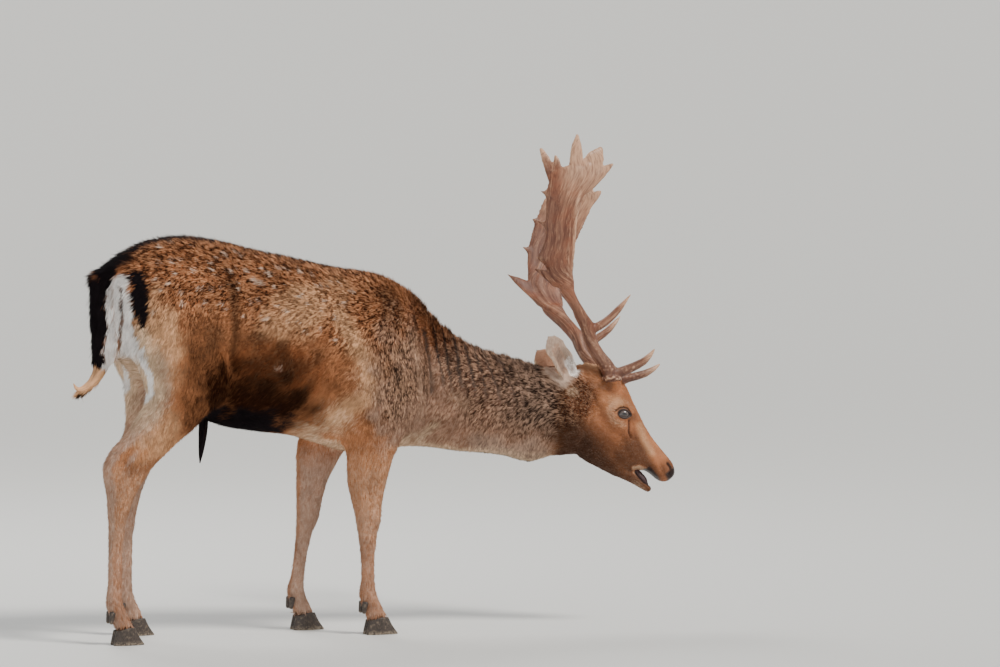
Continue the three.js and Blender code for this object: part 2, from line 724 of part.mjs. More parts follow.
// The neck is parted from the head on a plane behind the ears, and from the trunk on a leaning one.
const headNormal = NOSE.clone().multiplyScalar(HEAD_PARTING.nose).addScaledVector(CROWN, HEAD_PARTING.crown);
const headOffset = fromHead(HEAD_PARTING.through[0], 0, HEAD_PARTING.through[1]).dot(headNormal);
const baseNormal = new THREE.Vector3(1, 0, NECK_BASE_LEAN).normalize();
const baseOffset = new THREE.Vector3(NECK_BASE, 0, 600).dot(baseNormal);
const forward = above(body, baseNormal.toArray(), baseOffset);
place("head", above(forward, headNormal.toArray(), headOffset), LOOKS.hide);
place("neck", below(forward, headNormal.toArray(), headOffset), LOOKS.hide);
place("trunk", below(body, baseNormal.toArray(), baseOffset), LOOKS.hide);

for (const { name, made, look } of pieces) {
  const { vertProperties, triVerts } = made.getMesh();
  const geometry = new THREE.BufferGeometry();
  geometry.setAttribute("position", new THREE.BufferAttribute(vertProperties, 3));
  geometry.setIndex(new THREE.BufferAttribute(triVerts, 1));
  geometry.computeVertexNormals();
  const mesh = new THREE.Mesh(geometry, look);
  mesh.name = name;
  deer.add(mesh);
}

// The part's origin is the middle of its footprint, on the ground.
const middle = new THREE.Box3().setFromObject(deer).getCenter(new THREE.Vector3());
deer.position.set(-middle.x, -middle.y, 0);

export default deer;
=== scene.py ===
# %% [markdown]
# # A fallow buck, life size, in its autumn coat
# The solids of the animal are loaded as a fixed frame. This lesson dresses them: one skin over all the
# flesh, a coat of solid tufts that follows the lie of the hair, and separate eyes, antlers and hooves.
# Every place comes from the solids' own boxes, so the looks always fit the construction.

# %% The frame
import math

import bmesh
import bpy
import numpy as np
from mathutils import Matrix, Vector


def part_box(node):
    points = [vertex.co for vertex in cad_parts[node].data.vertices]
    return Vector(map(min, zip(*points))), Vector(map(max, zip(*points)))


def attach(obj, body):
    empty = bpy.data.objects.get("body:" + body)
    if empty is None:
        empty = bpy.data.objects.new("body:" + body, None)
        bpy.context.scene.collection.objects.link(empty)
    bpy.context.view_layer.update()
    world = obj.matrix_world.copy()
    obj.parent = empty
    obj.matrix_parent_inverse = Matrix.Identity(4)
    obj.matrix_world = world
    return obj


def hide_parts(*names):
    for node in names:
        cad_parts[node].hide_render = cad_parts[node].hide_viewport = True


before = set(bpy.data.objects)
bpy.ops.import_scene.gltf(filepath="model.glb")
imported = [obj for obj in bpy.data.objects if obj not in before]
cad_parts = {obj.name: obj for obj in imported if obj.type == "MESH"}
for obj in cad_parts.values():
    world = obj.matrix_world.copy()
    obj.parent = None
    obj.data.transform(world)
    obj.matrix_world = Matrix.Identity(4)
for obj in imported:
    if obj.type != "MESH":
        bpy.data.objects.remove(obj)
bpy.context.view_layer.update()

# %% [markdown]
# ## Two frames of reference
# A sculptor marks a middle plane on the body and another on the head before modelling anything. Here the
# body's frame has its origin on the ground, in the middle plane, 0.712 m in front of the buttocks. The head
# hangs and turns to the animal's right, so it has a frame of its own: down the face, across it, and out of
# the forehead.

# %% The body's frame and the head's frame
RUMP_TO_ORIGIN = 0.712
trunk_low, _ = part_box("trunk")
tail_low, tail_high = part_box("tail")
BODY = np.array([trunk_low.x + RUMP_TO_ORIGIN, (tail_low.y + tail_high.y) / 2, 0.0])


def unit(vectors):
    """Each vector divided by its own length."""
    lengths = np.linalg.norm(vectors, axis=-1, keepdims=True)
    return vectors / np.maximum(lengths, 1e-9)


def box_middle(node):
    low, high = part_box(node)
    return np.array((low + high) / 2)


EYE_RADIUS = 0.018
SIDES = {"right": -1, "left": 1}
EYES = {side_name: box_middle("eye_" + side_name) for side_name in SIDES}
LEFT = unit(EYES["left"] - EYES["right"])
NOSE = np.array([0.589, -0.312, -0.746])
NOSE = unit(NOSE - LEFT * (NOSE @ LEFT))
CROWN = np.cross(NOSE, LEFT)
EYE_ALONG = 0.08
EYE_LEVEL = -0.038
HEAD = (EYES["left"] + EYES["right"]) / 2 - NOSE * EYE_ALONG - CROWN * EYE_LEVEL
HEAD_AXES = np.stack([NOSE, LEFT, CROWN])


def in_body(points):
    """Places as (forward, left, up) from the body's origin."""
    return points - BODY


def in_head(points):
    """Places as (down the face, left, out of the forehead) from between the antlers' feet."""
    return (points - HEAD) @ HEAD_AXES.T


def from_head(places):
    return HEAD + np.asarray(places, float) @ HEAD_AXES


print("head's frame stands at", np.round(in_body(HEAD), 3))

# %% [markdown]
# ## Camera, light and floor
# A deer is looked at from some way off, level with its back, so the lens is long and stands far back. Soft
# studio light is a soft sun from above and before the animal, a weak lamp low behind it, a third that edges
# the back, and a pale even world that fills the shadows. The floor is stage only and doesn't belong to the
# model.

# %% Camera
VIEW_AZIMUTH = math.radians(-20)
VIEW_ELEVATION = math.radians(4)
VIEW_DISTANCE = 18.0
AIM = BODY + np.array([0.2936, -0.05295, 0.72465])
back_off = np.array([
    math.sin(VIEW_AZIMUTH) * math.cos(VIEW_ELEVATION),
    -math.cos(VIEW_AZIMUTH) * math.cos(VIEW_ELEVATION),
    math.sin(VIEW_ELEVATION),
])
camera_data = bpy.data.cameras.new("long_lens")
camera_data.lens = 264.49
camera_data.sensor_width = 36.0
camera_data.clip_end = 200.0
camera = bpy.data.objects.new("camera", camera_data)
camera.location = Vector(AIM + back_off * VIEW_DISTANCE)
camera.rotation_euler = Vector(back_off).to_track_quat("Z", "Y").to_euler()
bpy.context.scene.collection.objects.link(camera)
bpy.context.scene.camera = camera
print("camera at", [round(value, 3) for value in camera.location])


# %% Lights
def add_area_light(name, place, power, size, tint=(1.0, 1.0, 1.0)):
    """A square lamp at a place in the body's frame, facing the middle of the animal."""
    data = bpy.data.lights.new(name, "AREA")
    data.energy = power
    data.size = size
    data.color = tint
    lamp = bpy.data.objects.new(name, data)
    spot = Vector(BODY + np.array(place))
    target = Vector(BODY + np.array([-0.05, 0.0, 0.55]))
    lamp.location = spot
    lamp.rotation_euler = (spot - target).to_track_quat("Z", "Y").to_euler()
    bpy.context.scene.collection.objects.link(lamp)


key_data = bpy.data.lights.new("key_light", "SUN")
key_data.energy = 3.1
key_data.angle = math.radians(16)
key_data.color = (1.0, 0.965, 0.91)
key_light = bpy.data.objects.new("key_light", key_data)
key_light.rotation_euler = Vector((0.75, -1.0, 1.45)).to_track_quat("Z", "Y").to_euler()
bpy.context.scene.collection.objects.link(key_light)
add_area_light("fill_light", (-2.8, -3.0, 1.4), 22, 3.0, (0.94, 0.97, 1.0))
add_area_light("back_light", (-0.4, 2.6, 3.4), 70, 1.6)

world = bpy.data.worlds.new("studio")
world.use_nodes = True
world.node_tree.nodes["Background"].inputs["Color"].default_value = (0.86, 0.88, 0.9, 1)
world.node_tree.nodes["Background"].inputs["Strength"].default_value = 0.53
bpy.context.scene.world = world


# %% Helpers for materials
def new_material(name):
    """A material with only a Principled shader and an output: (material, nodes, links, shader)."""
    made = bpy.data.materials.new(name)
    made.use_nodes = True
    tree = made.node_tree
    tree.nodes.clear()
    output = tree.nodes.new("ShaderNodeOutputMaterial")
    shader = tree.nodes.new("ShaderNodeBsdfPrincipled")
    tree.links.new(shader.outputs["BSDF"], output.inputs["Surface"])
    return made, tree.nodes, tree.links, shader


def add_bump(tree, shader, height, distance, strength=1.0):
    """Bends the shader's normals as a relief does whose height from valley to ridge is `distance` metres."""
    bump = tree.nodes.new("ShaderNodeBump")
    bump.inputs["Strength"].default_value = strength
    bump.inputs["Distance"].default_value = distance
    tree.links.new(height, bump.inputs["Height"])
    tree.links.new(bump.outputs["Normal"], shader.inputs["Normal"])


# %% Floor
# It is flat round the animal and rises slowly far away, as a studio's paper sweep does, so no horizon shows.
FLOOR_FLAT = 10.0
FLOOR_REACH = 66.0
FLOOR_RISE = 26.0
ring_radii = np.concatenate([[0.01, FLOOR_FLAT], np.linspace(FLOOR_FLAT, FLOOR_REACH, 24)[1:]])
ring_turns = np.linspace(0, 2 * np.pi, 96, endpoint=False)
climb = np.clip((ring_radii - FLOOR_FLAT) / (FLOOR_REACH - FLOOR_FLAT), 0, 1) ** 2 * FLOOR_RISE
floor_points = np.stack([
    np.outer(ring_radii, np.cos(ring_turns)),
    np.outer(ring_radii, np.sin(ring_turns)),
    np.repeat(climb[:, None], len(ring_turns), axis=1),
], axis=2).reshape(-1, 3)
ring_starts = np.arange(len(ring_radii) - 1)[:, None] * len(ring_turns)
around = np.arange(len(ring_turns))[None]
after = (around + 1) % len(ring_turns)
floor_faces = np.stack([
    ring_starts + around, ring_starts + len(ring_turns) + around,
    ring_starts + len(ring_turns) + after, ring_starts + after,
], axis=2).reshape(-1, 4)
floor_mesh = bpy.data.meshes.new("floor")
floor_mesh.from_pydata(floor_points.tolist(), [], floor_faces.tolist() + [list(range(len(ring_turns)))])
floor_mesh.polygons.foreach_set("use_smooth", np.full(len(floor_mesh.polygons), True))
floor = bpy.data.objects.new("floor", floor_mesh)
bpy.context.scene.collection.objects.link(floor)
floor_material, _, _, floor_shader = new_material("pale_floor")
floor_shader.inputs["Base Color"].default_value = (0.7, 0.7, 0.68, 1)
floor_shader.inputs["Roughness"].default_value = 0.9
floor_mesh.materials.append(floor_material)
print("studio is lit")

# %% [markdown]
# ## Arrays in, mesh out
# Everything that follows is worked out on whole arrays of points. Small helpers take a solid's corners out
# of the frame, put finished arrays into a mesh, and give each point its normal. Three more shape all the
# forms: a ramp from 0 to 1, a mound that falls off all round, and a ripple for what is uneven in nature.


# %% Helpers for meshes
def solid_arrays(node):
    """A solid's points and triangles, with equal points made one."""
    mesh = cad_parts[node].data
    mesh.calc_loop_triangles()
    points = np.zeros(len(mesh.vertices) * 3)
    mesh.vertices.foreach_get("co", points)
    corners = np.zeros(len(mesh.loop_triangles) * 3, np.int32)
    mesh.loop_triangles.foreach_get("vertices", corners)
    merged, where = np.unique(np.round(points.reshape(-1, 3), 6), axis=0, return_inverse=True)
    triangles = where.reshape(-1)[corners].reshape(-1, 3)
    whole = (
        (triangles[:, 0] != triangles[:, 1])
        & (triangles[:, 1] != triangles[:, 2])
        & (triangles[:, 0] != triangles[:, 2])
    )
    return merged, triangles[whole]


def new_object(name, points, faces, material=None):
    """An object at the origin from points and faces that all have the same number of corners."""
    mesh = bpy.data.meshes.new(name)
    count, corners = faces.shape
    mesh.vertices.add(len(points))
    mesh.vertices.foreach_set("co", np.asarray(points, np.float32).ravel())
    mesh.loops.add(count * corners)
    mesh.loops.foreach_set("vertex_index", np.asarray(faces, np.int32).ravel())
    mesh.polygons.add(count)
    mesh.polygons.foreach_set("loop_start", np.arange(0, count * corners, corners, dtype=np.int32))
    mesh.update(calc_edges=True)
    mesh.polygons.foreach_set("use_smooth", np.full(count, True))
    if material is not None:
        mesh.materials.append(material)
    made = bpy.data.objects.new(name, mesh)
    bpy.context.scene.collection.objects.link(made)
    return made


def point_normals(points, faces):
    """The sum of the neighbouring faces' normals at each point, brought to length one."""
    if faces.shape[1] == 4:
        across = points[faces[:, 2]] - points[faces[:, 0]]
        along = points[faces[:, 3]] - points[faces[:, 1]]
    else:
        across = points[faces[:, 1]] - points[faces[:, 0]]
        along = points[faces[:, 2]] - points[faces[:, 0]]
    face_normals = np.cross(across, along)
    corners = faces.ravel()
    spread = np.repeat(face_normals, faces.shape[1], axis=0)
    total = [np.bincount(corners, spread[:, axis], len(points)) for axis in range(3)]
    return unit(np.stack(total, axis=1))


def ramp(values, low, high):
    """0 below low, 1 above high, and a smooth S between; it falls instead where high is below low."""
    share = np.clip((values - low) / (high - low), 0.0, 1.0)
    return share * share * (3.0 - 2.0 * share)


def mound(offsets, radii):
    """1 at the middle of an ellipsoid, falling smoothly to 0 at its skin."""
    distance = np.linalg.norm(offsets / np.asarray(radii), axis=-1)
    return ramp(distance, 1.0, 0.0)


def ripple(points, length, seed, waves=14):
    """A smooth random field of about +-1: the sum of plane waves of about that length, run at random."""
    chance = np.random.default_rng(seed)
    directions = unit(chance.normal(size=(waves, 3)))
    turns = chance.uniform(0.7, 1.4, waves) * 2 * np.pi / length
    starts = chance.uniform(0, 2 * np.pi, waves)
    total = sum(
        np.sin(points @ (direction * turn) + start)
        for direction, turn, start in zip(directions, turns, starts)
    )
    return total / math.sqrt(waves / 2) / 2


# %% [markdown]
# ## One skin over all the flesh
# On the animal the hide runs without a seam from nose to hoof. The solids are parted with thin cuts, so
# their copies are swollen by a hair's breadth, put together, and covered with one even net by the voxel
# remesh, as a sheet of clay is pressed over a core. A face needs a finer net than a flank. The points are
# therefore spread away from the head before the remesh, which enlarges the face up to four times and the
# rump hardly at all, and moved back afterwards.

# %% Joining the flesh
LEG_NAMES = ["fore_right", "fore_left", "hind_right", "hind_left"]
FLESH = ["trunk", "neck", "head", "tail", "ear_right", "ear_left"]
FLESH += [leg + "_" + part for leg in LEG_NAMES for part in ("upper", "cannon", "foot")]
SWELL = 0.0008


def joined_solids(nodes, swell):
    """The nodes' points and triangles in one pair of arrays, each solid swollen along its normals."""
    all_points, all_faces, count = [], [], 0
    for node in nodes:
        points, faces = solid_arrays(node)
        points = points + point_normals(points, faces) * swell
        all_points.append(points)
        all_faces.append(faces + count)
        count += len(points)
    return np.concatenate(all_points), np.concatenate(all_faces)


# The closed eyeballs are joined in too, so that the skin has no craters where the eyes will lie, and so is a
# stalk under each antler, which on the animal is bone with furred skin over it.
FORE = unit(np.array([0.66, 0.0, 0.75]))
RISE = unit(np.array([-0.75, 0.0, 0.66]))


def in_antler(points, side):
    """Places as (towards the face, up the antler, away from the middle plane) from the antler's foot."""
    places = in_head(points)
    return np.stack([places @ FORE, places @ RISE, places[:, 1] * side], axis=1)


def from_antler(places, side):
    places = np.asarray(places, float)
    in_plane = places[..., :1] * FORE + places[..., 1:2] * RISE
    return from_head(in_plane + np.array([0, side, 0]) * places[..., 2:])


def ring_faces(rings, around):
    """Triangles from ring to ring, and from the first and last ring to the two points that come after all."""
    ring = np.arange(rings - 1)[:, None] * around
    here = np.arange(around)
    after = (here + 1) % around
    a, b, c, d = ring + here, ring + after, ring + around + after, ring + around + here
    first, last = rings * around, (rings - 1) * around
    return np.concatenate([
        np.stack([a, b, c], 2).reshape(-1, 3),
        np.stack([a, c, d], 2).reshape(-1, 3),
        np.stack([np.full(around, first), after, here], 1),
        np.stack([np.full(around, first + 1), last + here, last + after], 1),
    ])


def rings_round(centres, radii, first_side, second_side, around):
    """A circle of points round each centre: centre + radius x (cosine x first side + sine x second side)."""
    turns = np.linspace(0, 2 * np.pi, around, endpoint=False)[None, :, None]
    circles = np.cos(turns) * first_side[:, None] + np.sin(turns) * second_side[:, None]
    return (centres[:, None] + radii[:, None, None] * circles).reshape(-1, 3)


def read_line(line, shares):
    """Places at shares of the way from point to point along a line of places."""
    line = np.asarray(line, float)
    knots = np.linspace(0, 1, len(line))
    return np.stack([np.interp(shares, knots, line[:, axis]) for axis in range(3)], axis=-1)


def closed_tube(centres, radii, around=24):
    """Rings of points round a line of places, closed by a point at either end: (points, triangles)."""
    centres = np.asarray(centres, float)
    radii = np.broadcast_to(np.asarray(radii, float), (len(centres),))
    run = unit(np.gradient(centres, axis=0))
    first_side = unit(np.cross(run, run[0] + np.array([0.3, 0.9, 0.2])))
    second_side = np.cross(run, first_side)
    rings = rings_round(centres, radii, first_side, second_side, around)
    points = np.concatenate([rings, centres[:1], centres[-1:]])
    return points, ring_faces(len(centres), around)


flesh_points, flesh_faces = joined_solids(FLESH + ["eye_right", "eye_left"], SWELL)
STALK = [(0.001, -0.036, 0.04), (0.001, -0.022, 0.042), (0.0, -0.01, 0.044), (0.0, -0.001, 0.045)]
for side in (1, -1):
    stalk_points, stalk_faces = closed_tube(from_antler(STALK, side), [0.019, 0.021, 0.022, 0.022])
    flesh_faces = np.concatenate([flesh_faces, stalk_faces + len(flesh_points)])
    flesh_points = np.concatenate([flesh_points, stalk_points])
print(len(FLESH), "pieces of flesh,", len(flesh_faces), "triangles")

# %% The remesh
FINE_CENTRE = from_head([0.06, 0.0, -0.06])
FINE_REACH = 0.26
FINE_TIMES = 4.0
VOXEL = 0.008


def enlarged_distance(distance):
    """Near the centre FINE_TIMES the distance; far away, the distance and no more."""
    return distance * (1 + (FINE_TIMES - 1) / (1 + (distance / FINE_REACH) ** 2))


def moved_radially(points, new_distance):
    """Every point keeps its direction from the centre and gets a new distance."""
    away = points - FINE_CENTRE
    distance = np.linalg.norm(away, axis=1)
    return FINE_CENTRE + away * (new_distance(distance) / np.maximum(distance, 1e-9))[:, None]


def true_distance(distance):
    """The way back from enlarged_distance, read from a fine table of it."""
    table = np.linspace(0, 3, 6001)
    return np.interp(distance, enlarged_distance(table), table)


def remeshed(points, faces, voxel):
    """The outer surface of all the solids together as an even net of four-sided faces."""
    source = new_object("remesh_source", points, faces)
    modifier = source.modifiers.new("net", "REMESH")
    modifier.mode = "VOXEL"
    modifier.voxel_size = voxel
    modifier.adaptivity = 0.0
    evaluated = source.evaluated_get(bpy.context.evaluated_depsgraph_get())
    mesh = evaluated.to_mesh()
    net_points = np.zeros(len(mesh.vertices) * 3)
    mesh.vertices.foreach_get("co", net_points)
    net_faces = np.zeros(len(mesh.loops), np.int32)
    mesh.loops.foreach_get("vertex_index", net_faces)
    evaluated.to_mesh_clear()
    source_mesh = source.data
    bpy.data.objects.remove(source)
    bpy.data.meshes.remove(source_mesh)
    return net_points.reshape(-1, 3), net_faces.reshape(-1, 4)


net_points, skin_faces = remeshed(moved_radially(flesh_points, enlarged_distance), flesh_faces, VOXEL)
skin_points = moved_radially(net_points, true_distance)
print("skin has", len(skin_faces) * 2, "triangles")

# %% [markdown]
# ## Regions of the body
# A taxidermist talks of the withers, the haunch, the gaskin. Here a region is a weight from 0 to 1, worked
# out from a point's place in the body's frame or the head's frame, and soft at its borders. The same
# weights later say how deep the coat is, how long its hair and which way it lies.


# %% Regions
EAR_ROOT = np.array([-0.052, 0.044, -0.082])
EAR_TIP = np.array([-0.184, 0.112, -0.061])
EAR_OPENING = np.array([0.25, 0.85, 0.35])


def ear_axis(side):
    """Root, tip, the way across the ear and the way its hollow faces; side is 1 for the left ear, else -1."""
    mirror = np.array([1.0, side, 1.0])
    root = from_head(EAR_ROOT * mirror)
    tip = from_head(EAR_TIP * mirror)
    along = tip - root
    across = unit(np.cross(along, (EAR_OPENING * mirror) @ HEAD_AXES))
    return root, tip, across, unit(np.cross(across, along))


def ear_places(points, side):
    """For each point: share of the way from root to tip, metres across, metres towards the opening."""
    root, tip, across, inward = ear_axis(side)
    along = tip - root
    away = points - root
    return away @ along / (along @ along), away @ across, away @ inward


def ear_share(points):
    """1 on both ears and 0 elsewhere, from the distance to each ear's axis."""
    total = np.zeros(len(points))
    for side in (1, -1):
        share, across, inward = ear_places(points, side)
        near = ramp(np.hypot(across, inward) - 0.025 * ramp(share, 0.5, 0.9), 0.052, 0.04)
        total = np.maximum(total, near * ramp(share, 0.02, 0.16) * ramp(share, 1.8, 1.7))
    return total


def head_share(points):
    """1 on the head, in front of a plane through the nape and the throat, and on both ears; 0 behind it."""
    along, _, out = in_head(points).T
    before_nape = ramp(0.742 * (along + 0.084) + 0.671 * (out + 0.093), -0.03, 0.03)
    return np.maximum(before_nape, ear_share(points))


def tail_share(points):
    """1 on the tail: behind the buttocks, narrow, and below its root."""
    forward, left, up = in_body(points).T
    return ramp(forward, -0.668, -0.69) * ramp(np.abs(left), 0.056, 0.044) * ramp(up, 0.915, 0.875)


def leg_share(points):
    """1 on the lower legs, 0 on the body and on the hanging head."""
    _, _, up = in_body(points).T
    return ramp(up, 0.52, 0.38) * (1 - head_share(points))


def neck_share(points):
    """1 on the neck, between the shoulders and the head."""
    forward, _, up = in_body(points).T
    return ramp(forward + 0.42 * (up - 0.6), 0.08, 0.2) * (1 - head_share(points))


# %% [markdown]
# ## Taking the facets off
# The solids have flat faces up to 50 mm wide, and a plain average of neighbours would take those off but
# would also shrink the legs. So the smoothed net is compared with the first one, and the smoothed
# difference is added back, which keeps the volume. Fine parts such as ears and legs are given less of it
# than the trunk.

# %% Smoothing
def net_edges(faces):
    """Both ends of every edge of a net of four-sided faces, each edge once in either direction."""
    pairs = np.concatenate([faces[:, [i, (i + 1) % 4]] for i in range(4)])
    pairs = np.unique(np.sort(pairs, axis=1), axis=0)
    return np.concatenate([pairs[:, 0], pairs[:, 1]]), np.concatenate([pairs[:, 1], pairs[:, 0]])


edge_from, edge_to = net_edges(skin_faces)


def neighbour_mean(values, start=edge_from, end=edge_to):
    """Each point's mean over its neighbours, for one value a point or for places."""
    count = np.maximum(np.bincount(start, minlength=len(values)), 1)
    if values.ndim == 1:
        return np.bincount(start, values[end], len(values)) / count
    means = [np.bincount(start, values[end, axis], len(values)) / count for axis in range(values.shape[1])]
    return np.stack(means, axis=1)


def eased(values, strength, times, start=edge_from, end=edge_to):
    """Moves values `times` over towards their neighbours' mean, by a share from 0 to 1, of all or of each."""
    strength = np.broadcast_to(strength, len(values))
    if values.ndim == 2:
        strength = strength[:, None]
    for _ in range(times):
        values = values + strength * (neighbour_mean(values, start, end) - values)
    return values


on_ear = ear_share(skin_points)
on_tail = tail_share(skin_points)
on_leg = leg_share(skin_points)
on_head = head_share(skin_points)
softness = 0.6 * np.ones(len(skin_points))
for share, kept in ((on_leg, 0.22), (on_tail, 0.2), (on_head, 0.5), (on_ear, 0.22)):
    softness *= 1 - share * (1 - kept)
SMOOTHINGS = 26
first = skin_points
eased_once = eased(first, softness, SMOOTHINGS)
skin_points = eased_once + eased(first - eased_once, softness, SMOOTHINGS)
print("largest move by smoothing", round(float(np.abs(skin_points - first).max()) * 1000, 1), "mm")

# %% [markdown]
# ## Sinking the skin by the depth of the coat
# The solids give the outline out to the tips of the hair, so the hide lies inside them: 13 mm on the neck,
# whose autumn coat is thick, 10 mm on the body, and hardly at all on the muzzle and the shins.


# %% Depth of the coat
def coat_depth(points):
    """How far the hide lies under the tips of the hair, in metres."""
    _, _, up = in_body(points).T
    along, _, _ = in_head(points).T
    depth = 0.0095 + 0.0035 * neck_share(points)
    depth = depth + (0.003 - depth) * ramp(up, 0.66, 0.4) * (1 - head_share(points))
    on_face = 0.005 - 0.003 * ramp(along, -0.03, 0.05) - 0.0008 * ramp(along, 0.12, 0.22)
    depth = depth + (on_face - depth) * ramp(head_share(points), 0.2, 1.0)
    depth = depth + (0.0016 - depth) * ear_share(points)
    on_tail_depth = 0.0035 + 0.0065 * ramp(up, 0.62, 0.72)
    return depth + (on_tail_depth - depth) * tail_share(points)


skin_depth = eased(coat_depth(skin_points), 0.5, 6)
skin_points = skin_points - point_normals(skin_points, skin_faces) * skin_depth[:, None]
skin_points = eased(skin_points, softness * 0.5, 3)
print("depth of coat from", round(skin_depth.min() * 1000, 1), "to", round(skin_depth.max() * 1000, 1), "mm")

# %% [markdown]
# ## Modelling the muscles, folds and tendons
# With the hide in place, its forms are pushed out or pressed in along the normals, as a thumb does it in
# clay. Two tools do nearly all of it: a mound with its own three radii, and a ridge or crease along a line
# through a few places of the side view. Both sides of the animal get the same forms.


# %% The two modelling tools
def line_shape(places, line, width):
    """1 on a polyline and 0 at `width` from it, for places and a line of the same number of axes."""
    line = np.asarray(line, float)
    nearest = np.full(len(places), np.inf)
    for start, end in zip(line[:-1], line[1:]):
        run = end - start
        share = np.clip((places - start) @ run / (run @ run), 0, 1)
        nearest = np.minimum(nearest, np.linalg.norm(places - start - share[:, None] * run, axis=1))
    return ramp(nearest, width, 0.0)


body_places = in_body(skin_points)
side_view = body_places[:, [0, 2]]
skin_normals = point_normals(skin_points, skin_faces)
# How much a point faces sideways: the forms fade out on the back, the belly and the insides of the legs.
outside = ramp(skin_normals[:, 1] * np.sign(body_places[:, 1]), 0.1, 0.6)
on_trunk = 1 - head_share(skin_points)

# %% Forms of the trunk and the neck
# Each row: name, line through places (forward, up), width and height in metres; a height below 0 is a crease.
TRUNK_LINES = [
    ("point of the hip", [(-0.416, 0.945), (-0.402, 0.9), (-0.394, 0.85), (-0.402, 0.78)], 0.022, 0.0055),
    ("hollow before the hip", [(-0.372, 0.9), (-0.352, 0.83), (-0.365, 0.75)], 0.045, -0.0075),
    ("fold of the flank", [(-0.42, 0.7), (-0.405, 0.62), (-0.415, 0.55), (-0.46, 0.505)], 0.026, -0.009),
    ("front of the thigh", [(-0.455, 0.8), (-0.46, 0.68), (-0.47, 0.58)], 0.055, 0.006),
    ("back thigh groove", [(-0.63, 0.8), (-0.612, 0.7), (-0.59, 0.6)], 0.024, -0.004),
    ("spine of the shoulder blade", [(-0.055, 0.83), (-0.02, 0.74), (0.03, 0.62)], 0.03, 0.005),
    ("behind the shoulder", [(-0.125, 0.8), (-0.14, 0.7), (-0.155, 0.6), (-0.15, 0.5)], 0.034, -0.0075),
    ("front of the shoulder", [(0.046, 0.72), (0.062, 0.62), (0.07, 0.53), (0.04, 0.48)], 0.022, 0.006),
    ("crease before the shoulder", [(0.075, 0.77), (0.094, 0.68), (0.104, 0.58)], 0.017, -0.0085),
    ("neck crease", [(0.212, 0.71), (0.205, 0.66), (0.195, 0.6)], 0.014, -0.005),
    ("furrow of the throat", [(0.1, 0.49), (0.22, 0.475), (0.36, 0.47), (0.47, 0.46)], 0.03, -0.004),
]
TRUNK_MOUNDS = [
    ("haunch", (-0.56, 0.74), (0.1, 0.13), 0.006),
    ("croup hollow", (-0.6, 0.9), (0.07, 0.04), -0.003),
    ("upper arm", (-0.075, 0.585), (0.075, 0.1), 0.008),
    ("point of the shoulder", (0.035, 0.56), (0.05, 0.06), 0.005),
    ("belly of the flank", (-0.28, 0.62), (0.13, 0.08), 0.005),
    ("knuckle of the stifle", (-0.435, 0.585), (0.035, 0.045), 0.005),
]
raised = np.zeros(len(skin_points))
for name, line, width, height in TRUNK_LINES:
    raised += height * line_shape(side_view, line, width) * outside * on_trunk
for name, middle, radii, height in TRUNK_MOUNDS:
    raised += height * mound(side_view - middle, radii) * outside * on_trunk
# Ribs: shallow waves that lean back as they go down, on the barrel only.
RIB_SPACING = 0.042
RIB_HEIGHT = 0.0013
rib_phase = (side_view[:, 0] + 0.35 * side_view[:, 1]) * 2 * np.pi / RIB_SPACING
on_barrel = mound(side_view - [-0.25, 0.7], (0.16, 0.15))
raised += RIB_HEIGHT * np.sin(rib_phase) * on_barrel * outside


WRINKLE_SPACING = 0.03
WRINKLE_DEPTH = 0.0055


def neck_wrinkles(places):
    """1 in the creases of the loose hide, which run down the upper half of the neck 30 mm apart."""
    forward, _, up = places.T
    phase = (forward + 0.1 * (up - 0.65)) * 2 * np.pi / WRINKLE_SPACING + 1.6 * ripple(places, 0.12, 3)
    upper_half = ramp(up + 0.3 * (forward - 0.1), 0.57, 0.66)
    return ramp(np.sin(phase), 0.05, 0.85) * ramp(forward, 0.07, 0.12) * ramp(forward, 0.4, 0.32) * upper_half


raised -= WRINKLE_DEPTH * neck_wrinkles(body_places) * on_trunk
raised += 0.0018 * ripple(body_places, 0.11, 4) * on_trunk * (1 - on_leg)
print("trunk forms from", round(raised.min() * 1000, 1), "to", round(raised.max() * 1000, 1), "mm")


# %% Forms of the legs
def leg_weight(leg):
    """1 on the points of one leg, below the body."""
    end, side_name = leg.split("_")
    low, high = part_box(leg + "_upper")
    foot_low, foot_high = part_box(leg + "_foot")
    margin = 0.03
    front = max(high.x, foot_high.x) + margin
    rear = min(low.x, foot_low.x) - margin
    inside = (skin_points[:, 0] < front) & (skin_points[:, 0] > rear)
    inside &= body_places[:, 1] * SIDES[side_name] > 0.012
    inside &= (body_places[:, 2] < 0.56) & (head_share(skin_points) < 0.5)
    if end == "hind":
        inside &= body_places[:, 0] < -0.4
    return inside


def share_from_rear(mask):
    """For each masked point, 0 at the rear edge of the leg at its own height and 1 at the front edge."""
    step = 0.012
    level = np.floor(body_places[:, 2] / step).astype(int)
    rear = np.full(level.max() + 1, np.inf)
    front = np.full(level.max() + 1, -np.inf)
    np.minimum.at(rear, level[mask], body_places[mask, 0])
    np.maximum.at(front, level[mask], body_places[mask, 0])
    return (body_places[:, 0] - rear[level]) / np.maximum(front[level] - rear[level], 1e-6)


